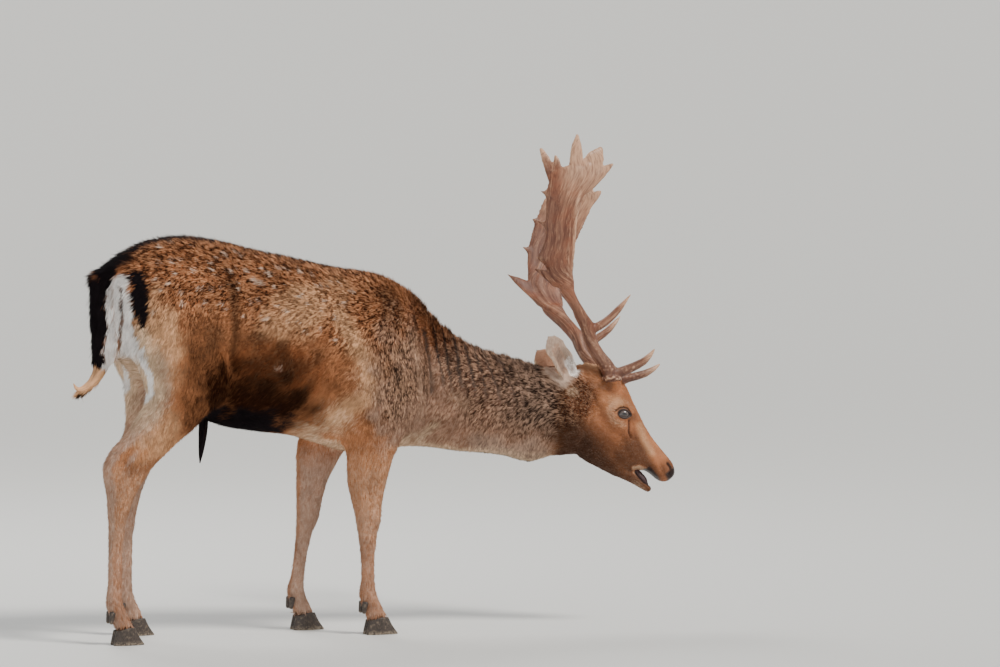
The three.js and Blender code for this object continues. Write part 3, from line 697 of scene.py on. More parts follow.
sideways = ramp(np.abs(skin_normals[:, 1]), 0.25, 0.8)
LEG_FORMS = {
    # middle of the form as (share from the rear, height), its radii and its height in metres
    "fore": [
        ("back of the knee", (0.05, 0.245), (0.35, 0.03), 0.003),
        ("knee", (0.8, 0.285), (0.4, 0.04), 0.003),
        ("groove of the tendon", (0.42, 0.185), (0.16, 0.065), -0.0032),
        ("forearm groove", (0.45, 0.385), (0.14, 0.08), -0.004),
        ("forearm muscle", (0.72, 0.42), (0.22, 0.07), 0.004),
        ("fetlock", (0.3, 0.105), (0.5, 0.024), 0.0022),
        ("pastern", (0.4, 0.066), (0.6, 0.016), -0.002),
    ],
    "hind": [
        ("hollow of the hock", (0.3, 0.455), (0.15, 0.065), -0.008),
        ("bone of the hock", (0.62, 0.385), (0.3, 0.045), 0.003),
        ("groove of the tendon", (0.42, 0.215), (0.16, 0.095), -0.0032),
        ("fetlock", (0.3, 0.105), (0.5, 0.024), 0.0022),
        ("pastern", (0.4, 0.066), (0.6, 0.016), -0.002),
    ],
}
for leg in LEG_NAMES:
    here = leg_weight(leg)
    from_rear = share_from_rear(here)
    for name, middle, radii, height in LEG_FORMS[leg.split("_")[0]]:
        offsets = np.stack([from_rear - middle[0], body_places[:, 2] - middle[1]], axis=1)
        raised += height * mound(offsets, radii) * sideways * here
    print(leg, "has", int(here.sum()), "points")

raised = eased(raised, 0.4, 2)
skin_points = skin_points + skin_normals * raised[:, None]

# %% [markdown]
# ## The face
# The head is where a viewer looks first. It gets the brow, the arch of the cheekbone, the slit of the scent
# gland in front of the eye, the nostrils and lips, and hollow ears. The eye is set as deep as a real one:
# the hide is drawn over the eyeball like a lid, and inside an almond-shaped opening it is pressed in behind
# the ball.

# %% Forms of the face
face_places = in_head(skin_points)
face_side = face_places[:, [0, 2]]
skin_normals = point_normals(skin_points, skin_faces)
across_face = skin_normals @ LEFT
cheekwards = ramp(across_face * np.sign(face_places[:, 1]), 0.1, 0.6)
on_face = head_share(skin_points) * (1 - ear_share(skin_points))
# Lines and mounds through places (down the face, out of the forehead).
LID_FOLD = [(0.062, -0.047), (0.063, -0.036), (0.068, -0.026), (0.078, -0.02), (0.091, -0.022)]
NOSTRIL = [(0.243, -0.03), (0.254, -0.03), (0.263, -0.036), (0.268, -0.045)]
FACE_LINES = [
    ("brow", [(0.045, -0.008), (0.066, -0.01), (0.09, -0.014)], 0.013, 0.0045),
    (
        "fold over the eye",
        [(0.058, -0.042), (0.06, -0.033), (0.066, -0.023), (0.077, -0.017), (0.091, -0.018)], 0.005, -0.0026,
    ),
    ("pouch under the eye", [(0.066, -0.06), (0.08, -0.062), (0.094, -0.056)], 0.007, 0.0016),
    ("cheekbone", [(0.11, -0.06), (0.085, -0.068), (0.05, -0.066), (0.01, -0.056)], 0.014, 0.004),
    ("under the cheekbone", [(0.11, -0.082), (0.08, -0.092), (0.04, -0.088)], 0.018, -0.0035),
    ("edge of the jaw", [(0.02, -0.15), (0.07, -0.168), (0.12, -0.158), (0.17, -0.138)], 0.02, 0.003),
    ("side of the nose", [(0.12, -0.022), (0.17, -0.03), (0.215, -0.034)], 0.016, -0.003),
    ("scent gland", [(0.101, -0.038), (0.112, -0.048), (0.122, -0.057), (0.135, -0.06)], 0.0062, -0.0052),
    ("rim of the scent gland", [(0.104, -0.05), (0.115, -0.062), (0.13, -0.069)], 0.008, 0.002),
    ("lip fold", [(0.19, -0.108), (0.196, -0.092), (0.212, -0.078)], 0.009, 0.0026),
    ("whisker pad", [(0.222, -0.06), (0.25, -0.058)], 0.018, 0.0024),
    ("nostril", NOSTRIL, 0.0058, -0.0085),
    ("wing of the nostril", [(0.238, -0.04), (0.246, -0.043), (0.256, -0.048)], 0.0075, 0.0026),
]
raised = np.zeros(len(skin_points))
for name, line, width, height in FACE_LINES:
    raised += height * line_shape(face_side, line, width) * cheekwards * on_face
FACE_MOUNDS = [
    ("chewing muscle", (0.03, -0.115), (0.05, 0.055), 0.0045),
    ("hollow before the eye", (0.14, -0.052), (0.03, 0.024), -0.003),
    ("temple", (0.01, -0.03), (0.035, 0.03), -0.003),
]
for name, middle, radii, height in FACE_MOUNDS:
    raised += height * mound(face_side - middle, radii) * cheekwards * on_face
# The chin is one form for both sides, and the skin rises round the foot of each antler to meet its burr.
raised += 0.0035 * mound(face_side - [0.262, -0.097], (0.024, 0.02)) * on_face
for side in (1, -1):
    raised += 0.003 * mound(face_places - [0.0, 0.045 * side, 0.0], (0.045, 0.042, 0.06)) * on_face
skin_points = skin_points + skin_normals * raised[:, None]


# %% Sockets and lids
# The eye's opening leans: its front corner is lower down the face and nearer the forehead than its rear one.
LID_LEAN = math.radians(42)
LID_LONG = 0.0152
LID_TALL = 0.0102
LID_THICK = 0.0016


def eye_axes(side_name):
    """For one eye: outward, along the opening towards the nose, and up across it."""
    side = SIDES[side_name]
    outward = unit(LEFT * side + 0.1 * NOSE + 0.1 * CROWN)
    along = unit(NOSE * math.cos(LID_LEAN) + CROWN * math.sin(LID_LEAN))
    along = unit(along - outward * (along @ outward))
    upward = np.cross(outward, along) * side
    return outward, along, upward


def almond(along, upward):
    """Below 1 inside the opening: an ellipse drawn out to a point at the corner nearest the nose."""
    stretch = LID_LONG * (1 + 0.1 * np.sign(along))
    narrow = 1 - 0.35 * np.clip(along / LID_LONG, 0, 1) ** 2
    return np.hypot(along / stretch, upward / (LID_TALL * narrow))


for side_name in SIDES:
    outward, along, upward = eye_axes(side_name)
    away = skin_points - EYES[side_name]
    distance = np.linalg.norm(away, axis=1)
    towards = away / np.maximum(distance, 1e-9)[:, None]
    facing = ramp(towards @ outward, 0.15, 0.45) * ramp(distance, 0.034, 0.026)
    opening = almond(away @ along, away @ upward)
    over_ball = EYE_RADIUS + LID_THICK
    behind_ball = EYE_RADIUS - 0.003
    wanted = np.where(opening < 1.0, behind_ball, np.maximum(distance, over_ball))
    wanted = distance + (wanted - distance) * facing
    skin_points = EYES[side_name] + towards * wanted[:, None]
    print(side_name, "eye: opening over", int(((opening < 1) & (facing > 0.5)).sum()), "points")

# %% Hollow ears and the end of the tail
skin_normals = point_normals(skin_points, skin_faces)
for side in (1, -1):
    share, across, inward = ear_places(skin_points, side)
    _, _, across_axis, inward_axis = ear_axis(side)
    near = ear_share(skin_points) * (np.hypot(across, inward) < 0.05)
    half = 0.012 + 0.022 * np.sin(np.pi * np.clip(share * 0.8 + 0.1, 0, 1))
    facing = ramp(skin_normals @ inward_axis, 0.0, 0.35)
    hollow = ramp(np.abs(across) / half, 0.9, 0.25) * ramp(share, 0.06, 0.22) * ramp(share, 0.92, 0.6)
    depth = 0.0125 - 0.006 * ramp(share, 0.3, 0.8)
    skin_points = skin_points - inward_axis * (depth * facing * hollow * near)[:, None]
    # The tip is drawn out sideways, so that it ends round and not in a point.
    rounder = 0.75 * ramp(share, 0.62, 0.92) * ramp(share, 1.6, 1.3) * near
    skin_points = skin_points + across_axis * (across * rounder)[:, None]
# The tail ends in a curl of loose hair, so its flesh is drawn in to a thin core along the middle of the curl.
TAIL_CURL = [
    (-0.706, 0.735), (-0.707, 0.7), (-0.708, 0.668), (-0.72, 0.64), (-0.741, 0.618), (-0.762, 0.608),
    (-0.774, 0.612), (-0.78, 0.626),
]
TAIL_CURL = [(forward, 0.0, up) for forward, up in TAIL_CURL]
now_in_body = in_body(skin_points)
curl_fine = read_line(TAIL_CURL, np.linspace(0, 5 / 7, 60))
tail_points = np.flatnonzero((on_tail > 0.3) & (now_in_body[:, 2] < 0.7))
gaps = now_in_body[tail_points, None, :] - curl_fine[None]
nearest = curl_fine[np.argmin(np.linalg.norm(gaps, axis=2), axis=1)]
drawn = 0.72 * ramp(now_in_body[tail_points, 2], 0.695, 0.65)[:, None]
skin_points[tail_points] += (nearest - now_in_body[tail_points]) * drawn
skin_points = eased(skin_points, 0.25, 1)
skin_normals = point_normals(skin_points, skin_faces)
print("skin is modelled")

# %% [markdown]
# ## Markings
# A fallow buck in autumn is reddish brown with black-tipped hair on the back, rows of fading pale spots, a
# black line along the spine that runs down the tail, a white rump framed by a black bar and a cream patch
# behind the elbow; its groin gets painted shadow that makes it nearly black. Each of these is a mask worked
# out from a place on the body, never painted by hand, so that the skin and every tuft of the coat can ask for
# the same mask at their own place and always agree.

# %% Heights of the back
on_middle = (np.abs(body_places[:, 1]) < 0.03) & (on_leg < 0.5) & (on_tail < 0.1)
BACK_STEP = 0.02
back_cells = np.arange(-0.72, 0.56, BACK_STEP)
cell_of = np.clip(((body_places[:, 0] + 0.72) / BACK_STEP).astype(int), 0, len(back_cells) - 1)
back_heights = np.zeros(len(back_cells))
np.maximum.at(back_heights, cell_of[on_middle], in_body(skin_points)[on_middle, 2])


def back_height(forward):
    """Height of the top line of trunk and neck at a place along the body."""
    return np.interp(forward, back_cells, back_heights)


# %% Places of the spots
# Rows of spots run below the spine, each a little lower, and the lowest two end sooner; along a row the spots
# come at uneven distances.
SPOT_ROWS = [0.022, 0.046, 0.076, 0.11, 0.15]
SPOT_SPACING = 0.032
SPOT_SIZE = 0.005
spot_chance = np.random.default_rng(7)
spot_places = []
for side in (1, -1):
    for row, drop in enumerate(SPOT_ROWS):
        last = -0.09 if row < 3 else -0.15
        along_row = np.arange(-0.6 + 0.02 * (row % 2), last, SPOT_SPACING)
        along_row = along_row + spot_chance.normal(0, 0.011, len(along_row))
        drops = drop + spot_chance.normal(0, 0.009, len(along_row))
        sizes = SPOT_SIZE * spot_chance.uniform(0.5, 1.4, len(along_row))
        spot_places.append(np.stack([along_row, drops, np.full(len(along_row), side), sizes], axis=1))
spot_places = np.concatenate(spot_places)
print(len(spot_places), "spots")


def spot_mask(places):
    """1 on a spot: near its place along the body and its drop below the back, on its own side."""
    drop = back_height(places[:, 0]) - places[:, 2]
    ragged = ripple(places, 0.014, 21) * 0.45
    mask = np.zeros(len(places))
    for along, depth, side, size in spot_places:
        near = np.hypot((places[:, 0] - along) / 1.35, drop - depth) / size + ragged
        mask = np.maximum(mask, ramp(near, 1.25, 0.35) * (places[:, 1] * side > 0))
    return mask


# %% Patches and lines of the side view
WHORL = np.array([-0.295, 0.663])
BORDER_ROUGH = 0.18


def blotch(places, middle, radii, seed, core=0.25):
    """A soft patch of the side view with a ragged border, full inside `core` of its radii."""
    offsets = (places[:, [0, 2]] - middle) / radii
    distance = np.linalg.norm(offsets, axis=1) + BORDER_ROUGH * ripple(places, 0.05, seed)
    return ramp(distance, 1.25, core)


def side_line(places, line, width):
    """1 on a line of the side view, given as (forward, up), and 0 at `width` from it."""
    return line_shape(places[:, [0, 2]], line, width)


# %% Marks of the hind end
# The tail's rear and front edges at some heights: its rear six tenths are black, low down only four tenths.
TAIL_HEIGHTS = [0.634, 0.662, 0.7, 0.778, 0.84, 0.885, 0.905]
TAIL_REAR = [-0.77, -0.734, -0.734, -0.737, -0.74, -0.738, -0.728]
TAIL_FRONT = [-0.694, -0.684, -0.68, -0.68, -0.676, -0.668, -0.66]
STREAK = [(-0.642, 0.7), (-0.622, 0.655), (-0.616, 0.615), (-0.638, 0.578), (-0.668, 0.548)]
FRINGE = [(-0.64, 0.76), (-0.63, 0.715), (-0.612, 0.66), (-0.604, 0.61)]


def rump_marks(places, normals, tail, fine):
    """Black, white and cream of the hind end, with painted shadow in the gap between tail and rump."""
    forward, left, up = places.T
    wide = np.abs(left)
    spine_half = 0.013 + 0.013 * ramp(forward, -0.36, -0.58)
    spine = ramp(wide + 0.01 * fine, spine_half + 0.016, spine_half - 0.012) * ramp(forward, -0.02, -0.14)
    spine = spine * ramp(normals[:, 2], 0.2, 0.5) * (0.72 + 0.26 * fine)
    bar_half = 0.0165 * ramp(up, 0.75, 0.82)
    bar = ramp(np.abs(forward + 0.634) + 0.005 * fine, bar_half + 0.006, bar_half - 0.006)
    bar = bar * ramp(up, 0.75, 0.775) * ramp(up, 0.915, 0.885) * ramp(wide, 0.02, 0.05)
    crown_of_rump = blotch(places, (-0.655, 0.925), (0.05, 0.03), 41) * ramp(wide, 0.07, 0.03)
    rear = np.interp(up, TAIL_HEIGHTS, TAIL_REAR)
    front = np.interp(up, TAIL_HEIGHTS, TAIL_FRONT)
    from_rear = (forward - rear) / (front - rear) + 0.05 * fine
    slant = up - 0.9 * (forward + 0.715) * ramp(up, 0.75, 0.68) + 0.006 * fine
    black_depth = 0.6 - 0.22 * ramp(up, 0.78, 0.68)
    tail_black = tail * ramp(from_rear - black_depth, 0.06, -0.06)
    tail_black = tail_black * ramp(slant, 0.645, 0.67) * ramp(up, 0.63, 0.655)
    # Painted shadow: a dark line in the gap between the tail and the rump's white patch.
    gap_shadow = 0.55 * ramp(np.abs(forward + 0.675), 0.006, 0.0015) * ramp(up, 0.7, 0.73) * ramp(up, 0.885, 0.87)
    black = np.maximum.reduce([spine, bar, 0.8 * crown_of_rump]) * (1 - tail)
    black = np.maximum(black, tail_black)
    tail_root = ramp(up, 0.868, 0.882) * ramp(forward, -0.66, -0.672) * ramp(wide, 0.05, 0.04)
    tail_root = tail_root * (1 - ramp(forward, -0.708, -0.718) * ramp(up, 0.915, 0.905))
    black = np.maximum.reduce([black, gap_shadow, tail_root])
    patch_edge = forward - 0.35 * ramp(up, 0.8, 0.66) * (0.8 - up)
    patch = ramp(patch_edge + 0.006 * fine, -0.648, -0.662) * ramp(up, 0.65, 0.745) * ramp(up, 0.905, 0.885)
    streak = ramp(side_line(places, STREAK, 0.0105) + 0.1 * fine, 0.2, 0.6) * ramp(wide, 0.05, 0.075)
    white = np.maximum(patch * (1 - tail), 0.9 * streak)
    white = np.maximum(white, tail * (1 - tail_black) * ramp(up, 0.655, 0.7))
    fringe = np.maximum(side_line(places, FRINGE, 0.038), 1.3 * side_line(places, STREAK, 0.034))
    fringe = np.clip(fringe, 0, 1) * ramp(wide, 0.05, 0.075)
    return np.clip(black, 0, 1), np.clip(white, 0, 1) * (1 - gap_shadow), fringe


# %% Marks of the face and the ears
# Lines through places (down the face, out of the forehead), and how wide each is.
FACE_MARK_LINES = {
    "lips": ([(0.196, -0.102), (0.203, -0.09), (0.22, -0.08), (0.248, -0.076)], 0.0075),
    "lower lip": ([(0.204, -0.106), (0.232, -0.1), (0.262, -0.092)], 0.007),
    "round the eye": ([(0.046, -0.044), (0.056, -0.06), (0.078, -0.068), (0.1, -0.058)], 0.02),
    "over the eye": ([(0.048, -0.028), (0.062, -0.012), (0.086, -0.008)], 0.014),
    "upper lid": (LID_FOLD, 0.006),
    "lower lid": ([(0.06, -0.062), (0.078, -0.068), (0.094, -0.061)], 0.006),
    "side of the nose": ([(0.13, -0.02), (0.16, -0.036), (0.195, -0.044)], 0.024),
}


def mottled_cheek(head_places):
    """1 on the brindled part of the head, from the ear to the angle of the jaw."""
    return ramp(mound(head_places[:, [0, 2]] - [-0.03, -0.115], (0.106, 0.118)), 0.0, 0.62)


def face_marks(head_places):
    """The masks of the face, colour by colour, as they are before they fade out behind the jaw."""
    along, across, out = head_places.T
    side = head_places[:, [0, 2]]
    on = {name: line_shape(side, line, width) for name, (line, width) in FACE_MARK_LINES.items()}
    chin = ramp(out, -0.106, -0.116) * ramp(along, 0.2, 0.24)
    ear_foot = mound(side - [-0.04, -0.098], (0.026, 0.024)) * ramp(np.abs(across), 0.03, 0.05)
    forehead = ramp(out, -0.05, -0.018) * ramp(along, 0.27, 0.2) * ramp(along, -0.045, 0.0)
    brindled = mottled_cheek(head_places)
    muzzle = ramp(along, 0.09, 0.15) * ramp(out + 0.2 * (along - 0.2), -0.032, -0.066)
    lower_face = ramp(out, -0.025, -0.15) * (1 - 0.5 * chin)
    nose_end = ramp(along, 0.212, 0.245) * ramp(out, -0.07, -0.05)
    front_of_eye = mound(side - [0.103, -0.026], (0.02, 0.028))
    eye_zone = mound(side - [0.05, -0.028], (0.044, 0.036))
    poll_tuft = ramp(mound(head_places - [-0.042, 0.0, -0.018], (0.05, 0.06, 0.05)), 0.0, 0.5)
    dark = np.maximum.reduce([
        0.7 * muzzle, 0.66 * lower_face, 0.86 * ramp(out, -0.06, -0.155), 0.8 * on["upper lid"],
        0.5 * on["lower lid"], 0.55 * nose_end, 0.6 * front_of_eye,
    ]) * (1 - on["lips"]) * (1 - on["lower lip"])
    return {
        "cream": np.maximum.reduce([
            0.55 * on["lips"], 0.45 * on["lower lip"], 0.25 * chin, 0.3 * on["round the eye"],
            0.15 * on["over the eye"], 0.55 * ear_foot,
        ]),
        "grey": 0.13 + 0.08 * ramp(along, 0.02, -0.04),
        "black": 0.52 * on["upper lid"],
        "dark": np.maximum.reduce([dark, 0.66 * brindled, np.full(len(dark), 0.2)]),
        "rust": np.maximum.reduce([0.42 * forehead, 0.34 * ramp(along, 0.0, 0.06), 0.6 * brindled]),
        "gold": np.maximum.reduce([
            0.62 * poll_tuft, 0.58 * eye_zone, 0.58 * on["side of the nose"], 0.2 * forehead,
        ]),
        "tipped": 0.25 * ramp(out, -0.02, -0.06),
    }


def ear_marks(points, normals, ear):
    """On both ears: hollow side, painted shade in the middle of the hollow, white tuft in front, pale edge of
    the back.
    """
    found = np.zeros((4, len(points)))
    for side in (1, -1):
        share, over, inward = ear_places(points, side)
        mine = (np.hypot(over, inward) < 0.06) * ear
        facing = ramp(normals @ ear_axis(side)[3], -0.05, 0.35)
        # The middle of the hollow gets painted shade.
        middle = ramp(np.abs(over), 0.017, 0.009) * ramp(share, 0.22, 0.36) * ramp(share, 0.84, 0.66)
        front_tuft = ramp(-over * side, 0.0, 0.01) * ramp(share, 0.58, 0.36)
        edge = (1 - 0.5 * facing) * ramp(np.abs(over), 0.015, 0.024)
        found = np.maximum(found, mine * np.stack([facing, facing * middle, facing * front_tuft, edge]))
    return found


# %% All the masks
MARKS = ("black", "white", "cream", "grey", "dark", "rust", "gold", "tipped", "spots", "ear_inside")
# Ragged patches of the trunk: colour, how full, middle (forward, up), radii, seed of the border, full core.
TRUNK_PATCHES = [
    ("cream", 0.34, (-0.15, 0.53), (0.06, 0.065), 45, 0.25),
    ("grey", 0.66, (0.045, 0.6), (0.14, 0.2), 55, 0.5),
    ("dark", 0.99, (-0.33, 0.592), (0.19, 0.1), 46, 0.25),
    ("dark", 0.72, (-0.322, 0.668), (0.17, 0.085), 47, 0.25),
    ("dark", 0.9, (-0.448, 0.605), (0.072, 0.13), 48, 0.25),
    ("dark", 0.55, (-0.36, 0.73), (0.08, 0.055), 56, 0.25),
    ("dark", 0.55, (-0.245, 0.535), (0.11, 0.042), 57, 0.25),
    ("dark", 0.4, (-0.42, 0.88), (0.035, 0.045), 58, 0.25),
    ("dark", 0.3, (-0.3, 0.885), (0.045, 0.03), 59, 0.25),
    ("dark", 0.6, (0.005, 0.8), (0.05, 0.075), 60, 0.25),
    ("dark", 0.58, (-0.512, 0.568), (0.075, 0.09), 41, 0.25),
    ("dark", 0.58, (-0.48, 0.66), (0.095, 0.18), 65, 0.25),
    ("rust", 0.6, (-0.3, 0.66), (0.17, 0.11), 50, 0.25),
    ("gold", 0.8, (-0.61, 0.72), (0.075, 0.15), 51, 0.45),
    ("gold", 0.7, (-0.225, 0.805), (0.095, 0.065), 52, 0.45),
    ("gold", 0.6, (-0.29, 0.77), (0.07, 0.05), 61, 0.45),
    ("gold", 0.5, (-0.13, 0.84), (0.05, 0.045), 62, 0.45),
    ("tipped", 0.95, (0.0, 0.66), (0.11, 0.2), 54, 0.25),
]
# Lines of the side view that run over trunk and neck: colour, how full, line (forward, up), width.
BODY_LINES = [
    ("cream", 0.55, [(0.03, 0.452), (0.085, 0.475), (0.12, 0.51)], 0.03),
    ("gold", 0.55, [(0.048, 0.72), (0.066, 0.62), (0.072, 0.53)], 0.02),
    ("gold", 0.75, [(0.165, 0.585), (0.2, 0.56)], 0.03),
]
BEHIND_SHOULDER = [(-0.135, 0.785), (-0.105, 0.725), (-0.075, 0.665), (-0.07, 0.6), (-0.115, 0.57)]
HIP_FOLD_SHADE = [(-0.414, 0.93), (-0.402, 0.851), (-0.404, 0.76), (-0.41, 0.68)]


def markings(points, normals):
    """Every mask of the coat at these points, each from 0 to 1, as a table of named arrays."""
    places = in_body(points)
    forward, left, up = places.T
    wide = np.abs(left)
    head_places = in_head(points)
    along, across, _ = head_places.T
    head_side = head_places[:, [0, 2]]
    ear = ear_share(points)
    head = head_share(points)
    face = head * (1 - ear)
    body = 1 - head
    tail = tail_share(points)
    neck = neck_share(points)
    trunk = body * (1 - neck) * (1 - tail)
    leg = leg_share(points)
    fine = ripple(places, 0.02, 31)
    broad = ripple(places, 0.09, 32)
    drop = back_height(forward) - up
    backward = -normals[:, 0]
    inner = ramp(normals[:, 1] * np.sign(left), -0.1, -0.7)
    marks = {name: np.zeros(len(points)) for name in MARKS}

    def lay(name, *masks):
        """Adds masks of one colour: at every point the fullest of them counts."""
        marks[name] = np.maximum.reduce([marks[name], *masks])

    on_face = face_marks(head_places)
    for name in ("cream", "grey", "black", "rust", "gold", "tipped"):
        lay(name, on_face[name] * face)
    for name, full, middle, radii, seed, core in TRUNK_PATCHES:
        lay(name, full * blotch(places, middle, radii, seed, core=core) * trunk)
    for name, full, line, width in BODY_LINES:
        lay(name, full * side_line(places, line, width) * body)

    # Hind end, and painted shadow that makes the groin nearly black.
    black, white, fringe = rump_marks(places, normals, tail, fine)
    groin_shadow = blotch(places, (-0.35, 0.515), (0.135, 0.072), 42)
    groin_shadow = np.maximum(groin_shadow, blotch(places, (-0.45, 0.54), (0.06, 0.06), 44) * ramp(wide, 0.15, 0.1))
    lay("black", black * body, 0.97 * groin_shadow * trunk * ramp(up, 0.6, 0.56))
    lay("white", white * body)

    # Ears: pale inside, painted shade grey and dark in the middle of the hollow, with a white tuft in front.
    ear_inside, ear_hollow_shade, ear_tuft, ear_edge = ear_marks(points, normals, ear)
    lay("white", 0.58 * ear_tuft)
    lay("cream", 0.8 * ear_edge)
    lay("black", 0.42 * ear_hollow_shade * (1 - marks["white"]))
    lay("ear_inside", ear_inside * (1 - 0.8 * ear_hollow_shade))
    lay("grey", 0.9 * ear_hollow_shade, 0.45 * ear * (1 - marks["ear_inside"]))

    # Cream: fringe of the thigh, between the thighs, and the belly behind the elbow.
    between = ramp(backward, 0.1, 0.45) * ramp(forward, -0.56, -0.61)
    between = between * ramp(up, 0.5, 0.56) * ramp(up, 0.76, 0.72)
    under = ramp(normals[:, 2], -0.5, -0.85) * ramp(forward, -0.28, -0.18)
    lay("cream", 0.78 * fringe * trunk, 0.55 * between * body * (1 - tail), 0.6 * under * body)

    # Grey: under the neck, on the chest, between the thighs, on the insides of the legs and on the whorl.
    neck_under = ramp(up - (0.53 - 0.18 * (forward - 0.1)) + 0.02 * broad, 0.05, -0.05)
    upper_neck = neck * (1 - neck_under)
    inner_thigh = ramp(forward, -0.48, -0.55) * ramp(up, 0.72, 0.66) * body
    whorl = np.linalg.norm(places[:, [0, 2]] - WHORL, axis=1)
    lay(
        "grey",
        neck * np.maximum(0.1 * ramp(forward, 0.42, 0.2), 0.96 * neck_under),
        0.6 * ramp(forward, 0.02, 0.09) * ramp(up, 0.74, 0.66) * body,
        0.65 * ramp(backward, 0.0, 0.5) * ramp(forward, -0.52, -0.6) * trunk * ramp(up, 0.74, 0.7),
        0.7 * inner * np.maximum(leg, inner_thigh),
        leg * (0.3 + 0.14 * ramp(up, 0.34, 0.26)),
        0.45 * ramp(whorl, 0.012, 0.004) * body,
    )

    # Dark brown: painted shade in the creases of the neck, in the fold before the hip and round the burrs;
    # also the face, behind the ears and a smudge on the hock.
    # The creases of the neck and the one before the shoulder get painted shade, dark brown and partly black.
    creases = 0.95 * neck_wrinkles(places) * body
    creases = np.maximum(creases, 0.8 * side_line(places, [(0.094, 0.74), (0.104, 0.6)], 0.016) * body)
    lay("black", 0.58 * creases * ramp(drop, -0.01, 0.01))
    behind_ear = mound(head_side - [-0.062, -0.125], (0.06, 0.045)) * (1 - ear)
    # Painted shade round the foot of each antler, in front of the burr.
    burr_middle = np.sign(across)[:, None] * [0, 0.042, 0] + [-0.004, 0, -0.012]
    burr_shade = ramp(np.linalg.norm(head_places - burr_middle, axis=1), 0.036, 0.024)
    lay(
        "dark",
        creases,
        # Painted shade along the fold in front of the hip.
        0.62 * side_line(places, HIP_FOLD_SHADE, 0.03) * ramp(drop, 0.02, 0.08) * trunk,
        face * on_face["dark"] + upper_neck * (0.36 + 0.48 * ramp(forward, 0.22, 0.4)),
        0.55 * behind_ear * np.maximum(head, neck),
        0.5 * burr_shade * ramp(along, -0.03, -0.01) * face,
        0.4 * blotch(places, (-0.672, 0.435), (0.03, 0.035), 49) * ramp(wide, 0.05, 0.08),
        0.2 * leg,
    )

    # Rust: withers, back and upper neck. Gold: behind the shoulder, tail curl, thigh and shins.
    lay(
        "rust",
        0.5 * ramp(drop, 0.17, 0.05) * ramp(forward, -0.16, 0.0) * body * (1 - neck),
        0.42 * ramp(drop, 0.26, 0.12) * trunk,
        upper_neck * (0.58 + 0.12 * ramp(forward, 0.22, 0.4)),
    )
    lay(
        "gold",
        0.85 * side_line(places, BEHIND_SHOULDER, 0.05) * trunk,
        0.85 * side_line(places, [(-0.095, 0.58), (-0.15, 0.535)], 0.045) * trunk,
        0.95 * tail * ramp(up, 0.665, 0.64),
        0.34 * leg * (1 - inner) * ramp(up, 0.16, 0.28),
        0.6 * blotch(places, (-0.62, 0.52), (0.09, 0.1), 63, core=0.4) * body * (1 - inner),
    )

    # Black tips: strong over back, shoulders, neck and cheek, weak on the face, none on belly and legs.
    grizzled = neck * (0.95 - 0.6 * neck_under) + face * mottled_cheek(head_places)
    lay(
        "tipped",
        ramp(drop + 0.03 * broad, 0.28, 0.12) * trunk * ramp(forward, -0.72, -0.64),
        0.45 * ramp(drop, 0.4, 0.2) * trunk * ramp(forward, -0.42, -0.34),
        np.clip(grizzled, 0, 1),
    )
    ear_foot = mound(head_side - [-0.04, -0.098], (0.026, 0.024))
    marks["tipped"] *= (1 - 0.45 * marks["gold"]) * (1 - 0.8 * creases) * (1 - 0.65 * ear_foot)
    lay("spots", 0.8 * spot_mask(places) * trunk * (1 - marks["black"]))
    return marks

skin_marks = markings(skin_points, skin_normals)
for name, mask in skin_marks.items():
    print(f"{name:10s} covers {mask.mean() * 100:4.1f} % of the skin")

# %% [markdown]
# ## The colour of hair
# One hair of a deer is pale at the root, coloured along its length and often black at its tip, so a coat
# looks mottled wherever tips cross. The pigment is therefore one node group for skin and coat alike. It
# reads the masks, a number for how far up the hair a place is, and a tone that differs from tuft to tuft.
# Painting an image would tie the coat to one view; masks hold from every side.


# %% Colour helpers
def colour(red, green, blue):
    """A colour given as 0 to 255 in sRGB, for a shader socket, which is linear."""
    parts = np.array([red, green, blue]) / 255
    linear = np.where(parts <= 0.04045, parts / 12.92, ((parts + 0.055) / 1.055) ** 2.4)
    return (*[float(value) for value in linear], 1.0)


def new_group(name, inputs, outputs):
    """A shader node group with named sockets: (group, its input node, its output node)."""
    group = bpy.data.node_groups.new(name, "ShaderNodeTree")
    for socket, kind, value in inputs:
        made = group.interface.new_socket(socket, in_out="INPUT", socket_type=kind)
        if value is not None:
            made.default_value = value
    for socket, kind in outputs:
        group.interface.new_socket(socket, in_out="OUTPUT", socket_type=kind)
    return group, group.nodes.new("NodeGroupInput"), group.nodes.new("NodeGroupOutput")


def read_mask(tree, name):
    """The output of an Attribute node that reads one of the masks."""
    node = tree.nodes.new("ShaderNodeAttribute")
    node.attribute_name = name
    return node.outputs["Fac"]


def calculated(tree, operation, *values):
    """The output of a Math node; each value is a number or another node's output."""
    node = tree.nodes.new("ShaderNodeMath")
    node.operation = operation
    for socket, value in zip(node.inputs, values):
        if isinstance(value, (int, float)):
            socket.default_value = value
        else:
            tree.links.new(value, socket)
    return node.outputs[0]


def times(tree, product, *factors):
    """The output of a chain of Math nodes that multiplies numbers or other nodes' outputs."""
    for factor in factors:
        product = calculated(tree, "MULTIPLY", product, factor)
    return product


def blended(tree, share, first_colour, second_colour, mode="MIX"):
    """The output of a colour Mix node; each colour is four numbers or another node's output."""
    node = tree.nodes.new("ShaderNodeMix")
    node.data_type = "RGBA"
    node.blend_type = mode
    sockets = {0: share, 6: first_colour, 7: second_colour}
    for index, value in sockets.items():
        if isinstance(value, (int, float, tuple)):
            node.inputs[index].default_value = value
        else:
            tree.links.new(value, node.inputs[index])
    return node.outputs[2]


def ranged(tree, value, low, high, to_low=0.0, to_high=1.0):
    """The output of a Map Range node with a smooth step."""
    node = tree.nodes.new("ShaderNodeMapRange")
    node.interpolation_type = "SMOOTHSTEP"
    tree.links.new(value, node.inputs["Value"])
    for socket, number in zip(("From Min", "From Max", "To Min", "To Max"), (low, high, to_low, to_high)):
        node.inputs[socket].default_value = number
    return node.outputs["Result"]


